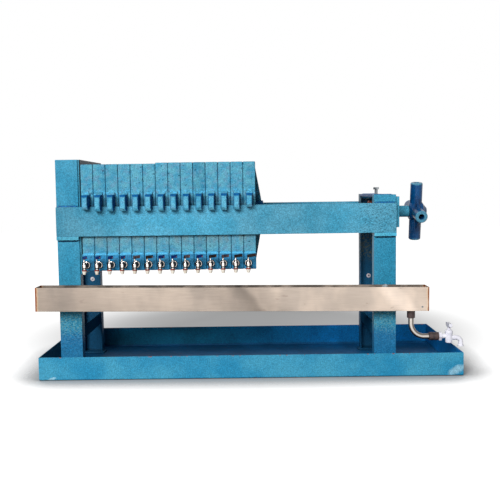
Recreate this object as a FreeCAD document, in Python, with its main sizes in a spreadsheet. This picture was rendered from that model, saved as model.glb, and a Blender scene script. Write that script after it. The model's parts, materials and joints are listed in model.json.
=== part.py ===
"""Plate filter press: a parametric FreeCAD model.

X runs along the rails from the fixed head to the screw, Y from front to back
and Z upwards.  The origin is the middle of the drip tray's underside, so the
press stands on Z = 0.  All lengths are millimetres and all angles degrees.
"""

import FreeCAD, Part
import os
import re

import Sketcher
from FreeCAD import Rotation, Vector

SIZES = (
    # drip tray
    ("tray_beyond", 209, "from the right posts to the tray's right rim"),
    ("tray_margin", 83, "tray in front of and behind the posts"),
    ("tray_height", 78, "height of its rim"),
    ("tray_sheet", 2.5, "sheet thickness"),
    # posts, rails and cross members
    ("frame_inset", 55, "from the tray's left rim to the left posts"),
    ("frame_depth", 374, "over the front and back posts"),
    ("rail_length", 1148, "over the left and right posts"),
    ("rail_height", 100, "height of a rail bar"),
    ("rail_thickness", 12, "thickness of a rail bar"),
    ("rail_drop", 65, "underside of the rails below the screw axis"),
    ("seat_height", 12, "bar welded to a post under the rail"),
    ("post_width", 75, "web of a post channel"),
    ("post_flange", 40, "flange of a post channel"),
    ("post_thickness", 5, "web and flange thickness"),
    ("left_post_rise", 13.5, "posts at the fixed head above the plates"),
    ("right_post_rise", 28, "posts at the screw above the rails"),
    ("foot_thickness", 6, "foot plate under a post"),
    ("foot_margin", 8, "foot plate beyond the post, left and right"),
    ("tie_rise", 42, "underside of the tie bars above the tray's rim"),
    ("tie_leg", 40, "leg of a tie bar angle"),
    ("tie_thickness", 5, "thickness of a tie bar angle"),
    # fixed head
    ("head_thickness", 8, "fixed head plate"),
    ("head_drop", 11.5, "underside of the fixed head plate below the plates"),
    ("head_rib_depth", 55, "stiffener behind the head plate"),
    ("head_rib_thickness", 10, "thickness of a stiffener"),
    ("head_rib_spacing", 150, "between the two stiffeners"),
    ("feed_bore", 30, "feed hole through the head and the plates"),
    ("feed_socket_diameter", 48, "outside of the feed socket"),
    ("feed_socket_length", 45, "feed socket behind the head plate"),
    # filter plates
    ("axis_rise", 1.5, "screw axis above the middle of the plates"),
    ("plate_count", 13, "loose plates between head and follower"),
    ("plate_side_gap", 5, "between a plate's side and the rail"),
    ("plate_thickness", 42, "thickness of a plate"),
    ("plate_rise", 46.5, "underside of the plates above the trough's rim"),
    ("low_plate_drop", 3, "tops of the first, shorter plates below the others"),
    ("plate_joint", 0.2, "gap between two closed plates"),
    ("plate_chamfer", 2, "broken edge round each face"),
    ("field_margin", 34, "flat sealing border round the filtering field"),
    ("field_recess", 9, "depth of the recessed field"),
    ("field_rib_count", 9, "upright ribs that carry the cloth in a field"),
    ("field_rib_pitch", 30, "from one rib to the next"),
    ("field_rib_width", 8, "width of a rib"),
    ("field_rib_height", 6, "rib above the floor of the field"),
    ("field_rib_gap", 12, "open channel above and below the ribs"),
    ("lug_width", 20, "thickness of a carrying lug along the rail"),
    ("lug_rise", 39, "lug above the rail"),
    ("lug_lip", 30, "lug in front of the rail"),
    ("lug_gap", 1, "between lug and rail face"),
    ("lug_seat", 0.2, "running gap between lug and rail top"),
    ("lug_bevel", 2, "broken inner edge of a lug's hook"),
    ("lug_corner", 6, "broken outer corners of a lug"),
    ("lug_root", 10, "thickening where a lug leaves the plate"),
    ("hook_depth", 15, "lug lip below the rail's top"),
    ("first_hook_depth", 9, "the same on the first plate's shorter lugs"),
    ("follower_hook_depth", 6, "the same on the follower's shorter lugs"),
    ("boss_proud", 10, "cock boss in front of the plate"),
    ("boss_height", 61.5, "upper edge of the cock boss above the plate's underside"),
    ("boss_bevel", 3, "bevel on the boss's upper edge, front to back"),
    ("boss_bevel_drop", 9, "the same, down the front"),
    ("boss_margin", 1, "boss narrower than the plate, each side"),
    ("boss_notch", 5, "broken upper corners of the boss, beside the joints"),
    # follower
    ("rib_thickness", 14, "rib on the back of the follower"),
    ("rib_root", 1, "rib sunk into the back of the casting"),
    ("rib_margin", 14, "outer end of a rib from the casting's side"),
    ("rib_height", 26, "rib height at the central boss"),
    ("follower_boss_diameter", 92, "central boss"),
    ("follower_boss_height", 28, "central boss"),
    ("screw_pocket_depth", 34, "pocket for the nose of the screw"),
    # crosshead and screw
    ("crosshead_height", 125, "height of the crosshead channel"),
    ("crosshead_thickness", 8, "web and flange thickness"),
    ("gusset_side", 46, "legs of a triangular gusset"),
    ("gusset_thickness", 8, "thickness of a gusset"),
    ("gusset_spacing", 110, "between the two gusset planes"),
    ("thrust_thickness", 12, "thrust plate"),
    ("thrust_margin", 5, "thrust plate narrower than the posts, each side"),
    ("thrust_height", 104, "thrust plate"),
    ("thrust_drop", 7, "thrust plate's top below the post's top"),
    ("nut_diameter", 80, "outside of the screw nut"),
    ("nut_length", 58, "screw nut"),
    ("screw_diameter", 44, "outside of the screw's thread"),
    ("screw_fit", 0.1, "radial clearance at the screw"),
    ("nose_diameter", 30, "nose of the screw in the follower"),
    ("nose_end_gap", 0.3, "behind the nose and at its shoulder"),
    ("neck_diameter", 41, "plain neck beside the capstan"),
    ("neck_gap", 7, "left end of the neck from the thrust plate"),
    ("screw_bevel", 3, "broken edges of the screw"),
    ("bolt_diameter", 12, "lock bolt"),
    ("bolt_flats", 19, "head of the lock bolt across its flats"),
    ("bolt_head_height", 8, "head of the lock bolt"),
    ("bolt_exposed", 17, "shank showing above the crosshead"),
    # capstan
    ("capstan_stand_off", 68, "hub of the capstan from the thrust plate"),
    ("capstan_radius", 104, "outer end of an arm"),
    ("arm_diameter", 43, "outside of an arm"),
    ("socket_bore", 20.5, "bar socket"),
    ("socket_depth", 62, "bar socket"),
    ("arm_chamfer", 3, "broken edge round the end of an arm"),
    ("capstan_hub_radius", 33, "hub"),
    ("capstan_hub_back", 25, "left face of the hub from the arms' middle plane"),
    ("capstan_hub_bevel", 6, "broken left edge of the hub"),
    ("capstan_nose_reach", 38, "tip of the hub's nose from the same plane"),
    ("capstan_nose_length", 16, "tapered nose"),
    ("capstan_nose_step", 6, "steeper start of the nose"),
    ("capstan_nose_shoulder", 24, "radius where the nose turns shallow"),
    ("capstan_nose_radius", 13, "flat on the tip of the nose"),
    ("capstan_turn", 10, "angle of the top arm towards the front"),
    ("web_reach", 92, "web along each arm"),
    ("web_turn", 66, "along an arm to where the web's rim turns in"),
    ("web_flare", 16, "web's rim from the arm's centre line there"),
    ("web_waist", 47, "web's rim half way between two arms"),
    ("web_thickness", 9, "web between the arms"),
    # trough and drain
    ("trough_before", 63, "trough beyond the left posts"),
    ("trough_beyond", 98, "trough beyond the right posts"),
    ("trough_depth", 68, "front to back"),
    ("trough_height", 80, "height of the trough"),
    ("trough_sheet", 1.5, "stainless sheet"),
    ("trough_fall", 0.62, "fall towards the drain"),
    ("drain_beyond", 44, "axis of the drain socket from the right posts"),
    ("drain_socket_diameter", 27, "pipe socket"),
    ("drain_socket_length", 28, "upright socket"),
    ("outlet_socket_length", 33, "level socket before the tap"),
    ("pipe_diameter", 18, "stainless pipe"),
    ("pipe_bore", 14, "inside of the pipe and the sockets"),
    ("pipe_bend", 45, "bend radius on the centre line"),
    ("pipe_rise", 46.5, "centre line of the level run above the tray's rim"),
    ("pipe_run", 15, "level run between bend and socket"),
    ("pipe_drop", 18.67, "upright run between socket and bend"),
    ("seat_gap", 0.3, "paint and play where pieces seat"),
    # bib tap
    ("tap_collar_length", 9, "hexagon against the socket"),
    ("tap_collar_flats", 27, "hexagon across its flats"),
    ("tap_neck_diameter", 15, "inlet neck"),
    ("tap_axis", 35, "barrel axis from the socket"),
    ("tap_barrel_diameter", 27, "barrel"),
    ("tap_barrel_drop", 22.5, "bottom of the barrel below the inlet"),
    ("tap_barrel_rise", 21.5, "top of the barrel above the inlet"),
    ("tap_waist_diameter", 24, "barrel below its cap"),
    ("tap_foot_bevel", 2, "broken lower edge of the barrel"),
    ("tap_cap_height", 14, "cap round the top of the barrel"),
    ("tap_cap_flare", 4, "height over which the waist widens to the cap"),
    ("tap_cap_bevel", 4.5, "bevel on the cap"),
    ("tap_stem_diameter", 10, "stem under the handle"),
    ("tap_handle_gap", 8, "handle above the barrel"),
    ("tap_handle_height", 15, "height of the handle"),
    ("tap_handle_length", 46, "handle from end to end"),
    ("tap_handle_width", 10, "handle"),
    ("tap_handle_rise", 5, "underside of the handle's ends above its middle"),
    ("tap_handle_flat", 14, "level middle of the handle's underside"),
    ("tap_spout_diameter", 16, "spout"),
    ("tap_spout_bore", 11, "inside of the spout"),
    ("tap_spout_reach", 40, "spout axis from the barrel axis"),
    ("tap_spout_drop", 5.5, "spout's centre line below the inlet, at the barrel"),
    ("tap_spout_bend", 16, "bend radius of the spout"),
    ("tap_mouth_drop", 34.5, "mouth of the spout below the inlet"),
    ("tap_lip_diameter", 21, "lip round the mouth"),
    ("tap_lip_height", 4, "lip round the mouth"),
    # drain cocks
    ("cock_rise", 21.5, "centre line of a cock's neck above the plate's underside"),
    ("cock_offset", -6, "cock from the middle of its plate"),
    ("cock_reach", 39, "barrel axis in front of the boss"),
    ("cock_collar_diameter", 26, "collar against the boss"),
    ("cock_collar_thickness", 6, "collar"),
    ("cock_neck_diameter", 10, "neck"),
    ("cock_barrel_diameter", 17, "barrel"),
    ("cock_barrel_rise", 13, "barrel above and below the neck"),
    ("cock_ring_height", 4, "ring under the barrel"),
    ("cock_ring_diameter", 17, "ring under the barrel"),
    ("cock_nozzle_diameter", 15, "nozzle at the ring"),
    ("cock_nozzle_mouth", 10, "nozzle at its mouth"),
    ("cock_nozzle_length", 11.5, "nozzle"),
    ("cock_bore", 6, "bore of the nozzle"),
    ("lever_stem_diameter", 7.5, "stem of a cock lever"),
    ("lever_stem_height", 13, "stem above the barrel"),
    ("lever_length", 28, "lever from the stem's axis"),
    ("lever_width", 8, "lever"),
    ("lever_thickness", 6, "lever"),
    ("lever_tip_bevel", 3, "broken corners at the tip of a lever"),
    ("lever_taper", 1, "narrowing of a lever towards its tip, each side"),
)

# Sizes and places that follow from the sizes above, each in a cell of its own.
RESULTS = (
    # along the rails
    ("tray_length", "frame_inset + rail_length + tray_beyond", "overall length of the drip tray"),
    ("frame_left", "frame_inset - tray_length / 2", "left face of the left posts"),
    ("frame_right", "frame_left + rail_length", "right face of the right posts"),
    ("right_post_left", "frame_right - post_width", "left face of the right posts"),
    ("thrust_face", "frame_right + thrust_thickness", "right face of the thrust plate"),
    ("head_face", "frame_left + post_width + head_thickness", "face that the plates close on"),
    ("plate_pitch", "plate_thickness + plate_joint", "from one closed plate to the next"),
    ("follower_left", "head_face + plate_joint + plate_count * plate_pitch", "face of the follower"),
    ("follower_back", "follower_left + plate_thickness", "back of the follower's slab"),
    ("nose_tip", "follower_back + follower_boss_height - screw_pocket_depth + nose_end_gap", "of the screw"),
    ("capstan_start", "thrust_face + capstan_stand_off", "left face of the capstan's hub"),
    ("drain_place", "frame_right + drain_beyond", "axis of the drain socket"),
    ("trough_left", "frame_left - trough_before", "left end of the trough"),
    ("trough_length", "trough_before + rail_length + trough_beyond", "length of the trough"),
    ("outlet_start", "drain_place + pipe_bend + pipe_run", "left end of the level socket"),
    ("outlet_end", "outlet_start + outlet_socket_length", "right end of the level socket"),
    ("tap_place", "outlet_end + tap_axis", "barrel axis of the tap"),
    # front to back
    ("tray_depth", "frame_depth + 2 * tray_margin", "drip tray"),
    ("post_front", "-frame_depth / 2", "front face of the posts"),
    ("plate_size", "frame_depth - 2 * plate_side_gap", "side of a square plate"),
    ("field_size", "plate_size - 2 * field_margin", "side of the filtering field"),
    ("boss_face", "-plate_size / 2 - boss_proud", "front of a cock boss"),
    ("thrust_width", "frame_depth - 2 * thrust_margin", "thrust plate"),
    ("trough_middle", "post_front - trough_depth / 2", "middle of the trough"),
    # upwards
    ("foot_top", "tray_sheet + foot_thickness", "underside of the posts"),
    ("tie_low", "tray_height + tie_rise", "underside of the tie bars"),
    ("pipe_low", "tray_height + pipe_rise", "centre line of the level pipe"),
    ("drain_top", "pipe_low + pipe_bend + pipe_drop + drain_socket_length", "top of the upright socket"),
    ("trough_shift", "drain_place - trough_left + drain_socket_diameter / 2", "over which the trough falls"),
    ("trough_floor", "drain_top + seat_gap / 3 + trough_shift * tan(trough_fall)", "its left underside"),
    ("trough_top", "trough_floor + trough_height / cos(trough_fall)", "rim at the left end"),
    ("plate_low", "trough_top + plate_rise", "underside of the plates"),
    ("plate_top", "plate_low + plate_size", "top of the plates"),
    ("low_top", "plate_top - low_plate_drop", "top of the shorter plates"),
    ("boss_top", "plate_low + boss_height", "upper edge of a cock boss"),
    ("cock_height", "plate_low + cock_rise", "centre line of a cock's neck"),
    ("axis_height", "plate_low + plate_size / 2 + axis_rise", "screw axis"),
    ("rail_low", "axis_height - rail_drop", "underside of the rails"),
    ("rail_top", "rail_low + rail_height", "top of the rails"),
    ("rib_reach", "plate_size / 2 - rib_margin", "outer end of a follower rib from the axis"),
    ("head_low", "plate_low - head_drop", "underside of the fixed head plate"),
    ("left_post_top", "plate_top + left_post_rise", "top of the posts at the fixed head"),
    ("right_post_top", "rail_top + right_post_rise", "top of the posts at the screw"),
)

NAMES = {row[0] for row in SIZES + RESULTS}

# Angle of each cock lever from the rail line towards the front.
LEVER_ANGLES = (60, 53, 55, 59, 42, 38, 50, 52, 50, 48, 38, 42, 30, 0)

# Plates at the fixed head that are a little shorter than the rest.
LOW_PLATES = 6

doc = FreeCAD.newDocument("plate_filter_press")
subparts = []


def write_sheet():
    """Put every size and result into the spreadsheet under its alias."""
    sheet = doc.addObject("Spreadsheet::Sheet", "Sizes")
    results = tuple((alias, "=" + text, note) for alias, text, note in RESULTS)
    for row, (alias, number, note) in enumerate(SIZES + results, start=1):
        sheet.set(f"A{row}", alias)
        sheet.set(f"B{row}", str(number))
        sheet.setAlias(f"B{row}", alias)
        sheet.set(f"C{row}", note)
        sheet.recompute()
    doc.recompute()
    return sheet


sizes = write_sheet()


def formula(text):
    """Turn the size names in a formula into references to the sheet."""
    return re.sub(
        r"[a-z_]+",
        lambda found: "Sizes." + found.group() if found.group() in NAMES else found.group(),
        str(text),
    )


def value(text):
    """Work a formula out with the sheet's present numbers."""
    return float(sizes.evalExpression(formula(text)))


def bind(thing, path, text):
    """Drive one property of an object by a formula."""
    thing.setExpression(path, formula(text))


# --- sketches and features --------------------------------------------------


def new_body(label, x="0", y="0", z="0"):
    """Start a body whose origin lies at the given place."""
    body = doc.addObject("PartDesign::Body", label)
    body.Label = label
    for axis, text in zip("xyz", (x, y, z)):
        bind(body, f"Placement.Base.{axis}", text)
    subparts.append(body)
    return body


def origin_plane(body, role):
    """Return one of the body's own origin planes."""
    return next(item for item in body.Origin.OriginFeatures if item.Role == role)


def new_sketch(body, name, plane, offset):
    """Attach a sketch to an origin plane, shifted along the plane's normal."""
    sketch = body.newObject("Sketcher::SketchObject", name)
    sketch.AttachmentSupport = (origin_plane(body, plane), [""])
    sketch.MapMode = "FlatFace"
    bind(sketch, "AttachmentOffset.Base.z", offset)
    return sketch


def tie(sketch, kind, geometry, number, text):
    """Hold one coordinate of a geometry's first point by a formula."""
    index = sketch.addConstraint(Sketcher.Constraint(kind, -1, 1, geometry, 1, number))
    bind(sketch, f"Constraints[{index}]", text)


def add_loop(sketch, corners):
    """Add a closed loop of straight edges through corners given as formulas."""
    first = sketch.GeometryCount
    points = [Vector(value(across), value(up), 0) for across, up in corners]
    for start, end in zip(points, points[1:] + points[:1]):
        sketch.addGeometry(Part.LineSegment(start, end), False)
    for step, (across, up) in enumerate(corners):
        after = first + (step + 1) % len(corners)
        sketch.addConstraint(Sketcher.Constraint("Coincident", first + step, 2, after, 1))
    for step, (across, up) in enumerate(corners):
        tie(sketch, "DistanceX", first + step, points[step].x, across)
        tie(sketch, "DistanceY", first + step, points[step].y, up)


def outline(body, name, plane, corners, offset="0"):
    """Sketch one closed outline of straight edges."""
    sketch = new_sketch(body, name, plane, offset)
    add_loop(sketch, corners)
    return sketch


def box_corners(left, low, right, high):
    """Corners of an upright rectangle."""
    return [(left, low), (right, low), (right, high), (left, high)]


def add_circle(sketch, across, up, diameter):
    """Add a circle whose centre and diameter follow formulas."""
    centre = Vector(value(across), value(up), 0)
    radius = value(diameter) / 2
    index = sketch.addGeometry(Part.Circle(centre, Vector(0, 0, 1), radius), False)
    size = sketch.addConstraint(Sketcher.Constraint("Diameter", index, radius * 2))
    bind(sketch, f"Constraints[{size}]", diameter)
    for kind, number, text in (("DistanceX", centre.x, across), ("DistanceY", centre.y, up)):
        place = sketch.addConstraint(Sketcher.Constraint(kind, -1, 1, index, 3, number))
        bind(sketch, f"Constraints[{place}]", text)


def circles(body, name, plane, places, offset="0"):
    """Sketch circles given as (across, up, diameter)."""
    sketch = new_sketch(body, name, plane, offset)
    for across, up, diameter in places:
        add_circle(sketch, across, up, diameter)
    return sketch


def pad(body, sketch, length, midplane=False, backwards=False):
    """Raise a sketch into the body."""
    feature = body.newObject("PartDesign::Pad", sketch.Name + "_pad")
    feature.Profile = sketch
    feature.Midplane = midplane
    feature.Reversed = backwards
    bind(feature, "Length", length)
    return feature


def pocket(body, sketch, length, midplane=False, backwards=False):
    """Cut a sketch into the body and make sure that it cuts."""
    doc.recompute()
    before = body.Shape.Volume
    feature = body.newObject("PartDesign::Pocket", sketch.Name + "_pocket")
    feature.Profile = sketch
    feature.Midplane = midplane
    feature.Reversed = backwards
    bind(feature, "Length", length)
    doc.recompute()
    if not body.Shape.Volume < before:
        raise ValueError(f"{feature.Name} cuts nothing")
    return feature


def revolve(body, sketch, axis, angle=360):
    """Turn a sketch about one of its own axes."""
    feature = body.newObject("PartDesign::Revolution", sketch.Name + "_turned")
    feature.Profile = sketch
    feature.ReferenceAxis = (sketch, [axis])
    feature.Angle = angle
    return feature


def quarter_bend(body, section, across, height):
    """Turn a level section a quarter round an axis at its own height."""
    axis = new_sketch(body, section.Name + "_axis", "XY_Plane", height)
    start = Vector(value(across), 0, 0)
    line = axis.addGeometry(Part.LineSegment(start, start + Vector(0, 1, 0)), False)
    axis.addConstraint(Sketcher.Constraint("Vertical", line))
    tie(axis, "DistanceX", line, start.x, across)
    bend = body.newObject("PartDesign::Revolution", section.Name + "_bend")
    bend.Profile = section
    bend.ReferenceAxis = (axis, ["Edge1"])
    bend.Angle = 90
    bend.Reversed = True
    return bend


def mirror(body, features, plane):
    """Repeat features on the other side of an origin plane."""
    feature = body.newObject("PartDesign::Mirrored", features[0].Name + "_mirrored")
    feature.Originals = features
    feature.MirrorPlane = (origin_plane(body, plane), [""])
    body.Tip = feature
    return feature


def around(body, features, axis_role, count):
    """Repeat features evenly round one of the body's axes."""
    feature = body.newObject("PartDesign::PolarPattern", features[0].Name + "_ring")
    feature.Originals = features
    feature.Axis = (origin_plane(body, axis_role), [""])
    feature.Angle = 360
    feature.Occurrences = count
    body.Tip = feature
    return feature


def chamfer(body, base, edges, size):
    """Break the named edges or all edges of the named faces."""
    feature = body.newObject("PartDesign::Chamfer", base.Name + "_chamfer")
    feature.Base = (base, edges)
    bind(feature, "Size", size)
    return feature


def faces_along(shape, direction):
    """Names of the flat faces whose outward normal is the given direction."""
    names = []
    for number, face in enumerate(shape.Faces, start=1):
        if face.Surface.TypeId == "Part::GeomPlane" and face.normalAt(0, 0).isEqual(direction, 1e-6):
            names.append(f"Face{number}")
    return names


def hexagon(flats):
    """Corners of a hexagon with two corners on the horizontal axis."""
    corner = f"({flats} / sqrt(3))"
    return [
        (corner, "0"),
        (f"{corner} / 2", f"{flats} / 2"),
        (f"-{corner} / 2", f"{flats} / 2"),
        (f"-{corner}", "0"),
        (f"-{corner} / 2", f"-{flats} / 2"),
        (f"{corner} / 2", f"-{flats} / 2"),
    ]


# --- tray and frame ---------------------------------------------------------


def drip_tray():
    """Open sheet tray under the whole press."""
    body = new_body("drip_tray")
    side = "tray_length / 2"
    front = "tray_depth / 2"
    outside = outline(body, "tray_outside", "XY_Plane", box_corners(f"-{side}", f"-{front}", side, front))
    pad(body, outside, "tray_height")
    side = f"({side} - tray_sheet)"
    front = f"({front} - tray_sheet)"
    inside = outline(
        body, "tray_inside", "XY_Plane", box_corners(f"-{side}", f"-{front}", side, front), "tray_height"
    )
    pocket(body, inside, "tray_height - tray_sheet")


def post_pair(label, left, top):
    """Front and back channel post of one end, each with a foot."""
    body = new_body(label, x=left)
    inner = "(post_front + post_flange)"
    web = "(post_front + post_thickness)"
    wall = "(post_width - post_thickness)"
    section = [
        ("0", "post_front"),
        ("post_width", "post_front"),
        ("post_width", inner),
        (wall, inner),
        (wall, web),
        ("post_thickness", web),
        ("post_thickness", inner),
        ("0", inner),
    ]
    channel = outline(body, label + "_section", "XY_Plane", section, "foot_top")
    channel = pad(body, channel, f"{top} - foot_top")
    corners = box_corners("-foot_margin", "post_front", "post_width + foot_margin", f"{inner} + foot_margin")
    foot = pad(body, outline(body, label + "_foot", "XY_Plane", corners, "tray_sheet"), "foot_thickness")
    mirror(body, [channel, foot], "XZ_Plane")


def rail_seats():
    """Short bars welded across the posts, which carry the rails."""
    body = new_body("rail_seats", x="frame_left", z="rail_low")
    sketch = new_sketch(body, "seat_sides", "XZ_Plane", "frame_depth / 2")
    add_loop(sketch, box_corners("0", "-seat_height", "post_width", "0"))
    add_loop(sketch, box_corners("rail_length - post_width", "-seat_height", "rail_length", "0"))
    mirror(body, [pad(body, sketch, "rail_thickness")], "XZ_Plane")


def side_rails():
    """Flat bars along the front and the back of the posts."""
    body = new_body("side_rails", x="frame_left")
    corners = box_corners("0", "rail_low", "rail_length", "rail_top")
    side = outline(body, "rail_side", "XZ_Plane", corners, "frame_depth / 2")
    mirror(body, [pad(body, side, "rail_thickness")], "XZ_Plane")


def fixed_head():
    """Plate on the left posts, with two stiffeners and the feed socket behind it."""
    body = new_body("fixed_head", x="frame_left + post_width", z="axis_height")
    side = "plate_size / 2"
    plate = outline(
        body,
        "head_face",
        "YZ_Plane",
        box_corners(f"-{side}", "head_low - axis_height", side, "left_post_top - axis_height"),
    )
    pad(body, plate, "head_thickness")
    half = "(frame_depth / 2 - post_flange)"
    for name, place in (("upper", "head_rib_spacing / 2"), ("lower", "-head_rib_spacing / 2")):
        low = f"({place} - head_rib_thickness / 2)"
        rib = outline(
            body,
            f"{name}_rib",
            "YZ_Plane",
            box_corners(f"-{half}", low, half, f"{low} + head_rib_thickness"),
        )
        pad(body, rib, "head_rib_depth", backwards=True)
    socket = circles(body, "feed_socket", "YZ_Plane", [("0", "0", "feed_socket_diameter")])
    pad(body, socket, "feed_socket_length", backwards=True)
    bore = circles(body, "feed_hole", "YZ_Plane", [("0", "0", "feed_bore")], "head_thickness")
    pocket(body, bore, "head_thickness + feed_socket_length")


def tie_bars():
    """Angle bars from front to back between the posts of each end."""
    body = new_body("tie_bars", x="frame_left", z="tie_low")
    sketch = new_sketch(body, "tie_section", "XZ_Plane", "0")
    inner = "post_width"
    add_loop(
        sketch,
        [
            (f"{inner} - tie_leg", "0"),
            (inner, "0"),
            (inner, "tie_leg"),
            (f"{inner} - tie_thickness", "tie_leg"),
            (f"{inner} - tie_thickness", "tie_thickness"),
            (f"{inner} - tie_leg", "tie_thickness"),
        ],
    )
    outer = "(rail_length - post_width)"
    add_loop(
        sketch,
        [
            (outer, "0"),
            (f"{outer} + tie_leg", "0"),
            (f"{outer} + tie_leg", "tie_thickness"),
            (f"{outer} + tie_thickness", "tie_thickness"),
            (f"{outer} + tie_thickness", "tie_leg"),
            (outer, "tie_leg"),
        ],
    )
    pad(body, sketch, "frame_depth - 2 * post_flange", midplane=True)


def crosshead():
    """Channel between the right posts that takes the push of the screw."""
    body = new_body("crosshead", x="right_post_left", z="right_post_top")
    bottom = "(-crosshead_height)"
    web = "(post_width - crosshead_thickness)"
    section = [
        ("0", "0"),
        ("0", "-crosshead_thickness"),
        (web, "-crosshead_thickness"),
        (web, f"{bottom} + crosshead_thickness"),
        ("0", f"{bottom} + crosshead_thickness"),
        ("0", bottom),
        ("post_width", bottom),
        ("post_width", "0"),
    ]
    channel = outline(body, "crosshead_section", "XZ_Plane", section)
    pad(body, channel, "frame_depth - 2 * post_flange", midplane=True)
    upper = [
        (web, "-crosshead_thickness"),
        (f"{web} - gusset_side", "-crosshead_thickness"),
        (web, "-crosshead_thickness - gusset_side"),
    ]
    lower = [
        (web, f"{bottom} + crosshead_thickness"),
        (f"{web} - gusset_side", f"{bottom} + crosshead_thickness"),
        (web, f"{bottom} + crosshead_thickness + gusset_side"),
    ]
    gussets = new_sketch(body, "gussets", "XZ_Plane", "(gusset_spacing - gusset_thickness) / 2")
    add_loop(gussets, upper)
    add_loop(gussets, lower)
    mirror(body, [pad(body, gussets, "gusset_thickness")], "XZ_Plane")
    screw_hole = circles(
        body,
        "screw_hole",
        "YZ_Plane",
        [("0", "axis_height - right_post_top", "screw_diameter + 2 * screw_fit")],
        "post_width",
    )
    pocket(body, screw_hole, "crosshead_thickness")
    bolt_hole = circles(
        body, "bolt_hole", "XY_Plane", [("post_width / 2", "0", "bolt_diameter + 2 * screw_fit")]
    )
    pocket(body, bolt_hole, "crosshead_thickness")


def thrust_plate():
    """Flat plate on the outer side of the right posts."""
    body = new_body("thrust_plate", x="frame_right", z="right_post_top - thrust_drop")
    half = "thrust_width / 2"
    face = outline(body, "thrust_face", "YZ_Plane", box_corners(f"-{half}", "-thrust_height", half, "0"))
    pad(body, face, "thrust_thickness")
    hole = circles(
        body,
        "thrust_hole",
        "YZ_Plane",
        [("0", "axis_height - right_post_top + thrust_drop", "screw_diameter + 2 * screw_fit")],
        "thrust_thickness",
    )
    pocket(body, hole, "thrust_thickness")


def screw_nut():
    """Round nut against the inside of the crosshead's web."""
    face = "frame_right - crosshead_thickness"
    body = new_body("screw_nut", x=face, z="axis_height")
    outside = circles(body, "nut_outside", "YZ_Plane", [("0", "0", "nut_diameter")])
    pad(body, outside, "nut_length", backwards=True)
    bore = circles(body, "nut_bore", "YZ_Plane", [("0", "0", "screw_diameter + 2 * screw_fit")])
    pocket(body, bore, "nut_length")


def lock_bolt():
    """Hexagon bolt through the crosshead's top, down on the nut."""
    body = new_body("lock_bolt", x="right_post_left + post_width / 2", z="right_post_top")
    tip = "(axis_height + nut_diameter / 2 + seat_gap - right_post_top)"
    shank = circles(body, "bolt_shank", "XY_Plane", [("0", "0", "bolt_diameter")], tip)
    pad(body, shank, f"bolt_exposed - {tip}")
    head = outline(body, "bolt_head", "XY_Plane", hexagon("bolt_flats"), "bolt_exposed")
    pad(body, head, "bolt_head_height")


# --- trough and drain -------------------------------------------------------


def collecting_trough():
    """Open stainless trough on the front of the posts, falling to its right end."""
    body = new_body("collecting_trough", x="trough_left", y="post_front", z="trough_top")
    body.Placement.Rotation = Rotation(Vector(0, 1, 0), value("trough_fall"))
    bind(body, "Placement.Rotation.Angle", "trough_fall")
    corners = box_corners("0", "-trough_depth", "trough_length", "0")
    pad(body, outline(body, "trough_outside", "XY_Plane", corners, "-trough_height"), "trough_height")
    corners = box_corners(
        "trough_sheet", "trough_sheet - trough_depth", "trough_length - trough_sheet", "-trough_sheet"
    )
    pocket(body, outline(body, "trough_inside", "XY_Plane", corners), "trough_height - trough_sheet")
    along = "(drain_place - trough_left) / cos(trough_fall) - trough_height * tan(trough_fall)"
    hole = [(along, "-trough_depth / 2", "pipe_bore")]
    drain = circles(body, "trough_drain", "XY_Plane", hole, "trough_sheet - trough_height")
    pocket(body, drain, "trough_sheet")


def drain_sockets():
    """Upright socket under the trough and level socket before the tap."""
    body = new_body("drain_sockets", y="trough_middle")
    low = "(drain_top - drain_socket_length)"
    ring = [("drain_place", "0", "drain_socket_diameter"), ("drain_place", "0", "pipe_bore")]
    pad(body, circles(body, "upright_socket", "XY_Plane", ring, low), "drain_socket_length")
    ring = [("0", "pipe_low", "drain_socket_diameter"), ("0", "pipe_low", "pipe_bore")]
    pad(body, circles(body, "level_socket", "YZ_Plane", ring, "outlet_start"), "outlet_socket_length")


def drain_pipe():
    """Bent stainless pipe from the upright socket to the level one."""
    body = new_body("drain_pipe", y="trough_middle")
    bend_top = "(pipe_low + pipe_bend)"
    ring = [("drain_place", "0", "pipe_diameter"), ("drain_place", "0", "pipe_bore")]
    upright = circles(body, "pipe_upright", "XY_Plane", ring, bend_top)
    pad(body, upright, f"drain_top - drain_socket_length - {bend_top}")
    section = circles(body, "pipe_section", "XY_Plane", ring, bend_top)
    quarter_bend(body, section, "drain_place + pipe_bend", bend_top)
    ring = [("0", "pipe_low", "pipe_diameter"), ("0", "pipe_low", "pipe_bore")]
    level = circles(body, "pipe_level", "YZ_Plane", ring, "drain_place + pipe_bend")
    pad(body, level, "pipe_run")


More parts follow.
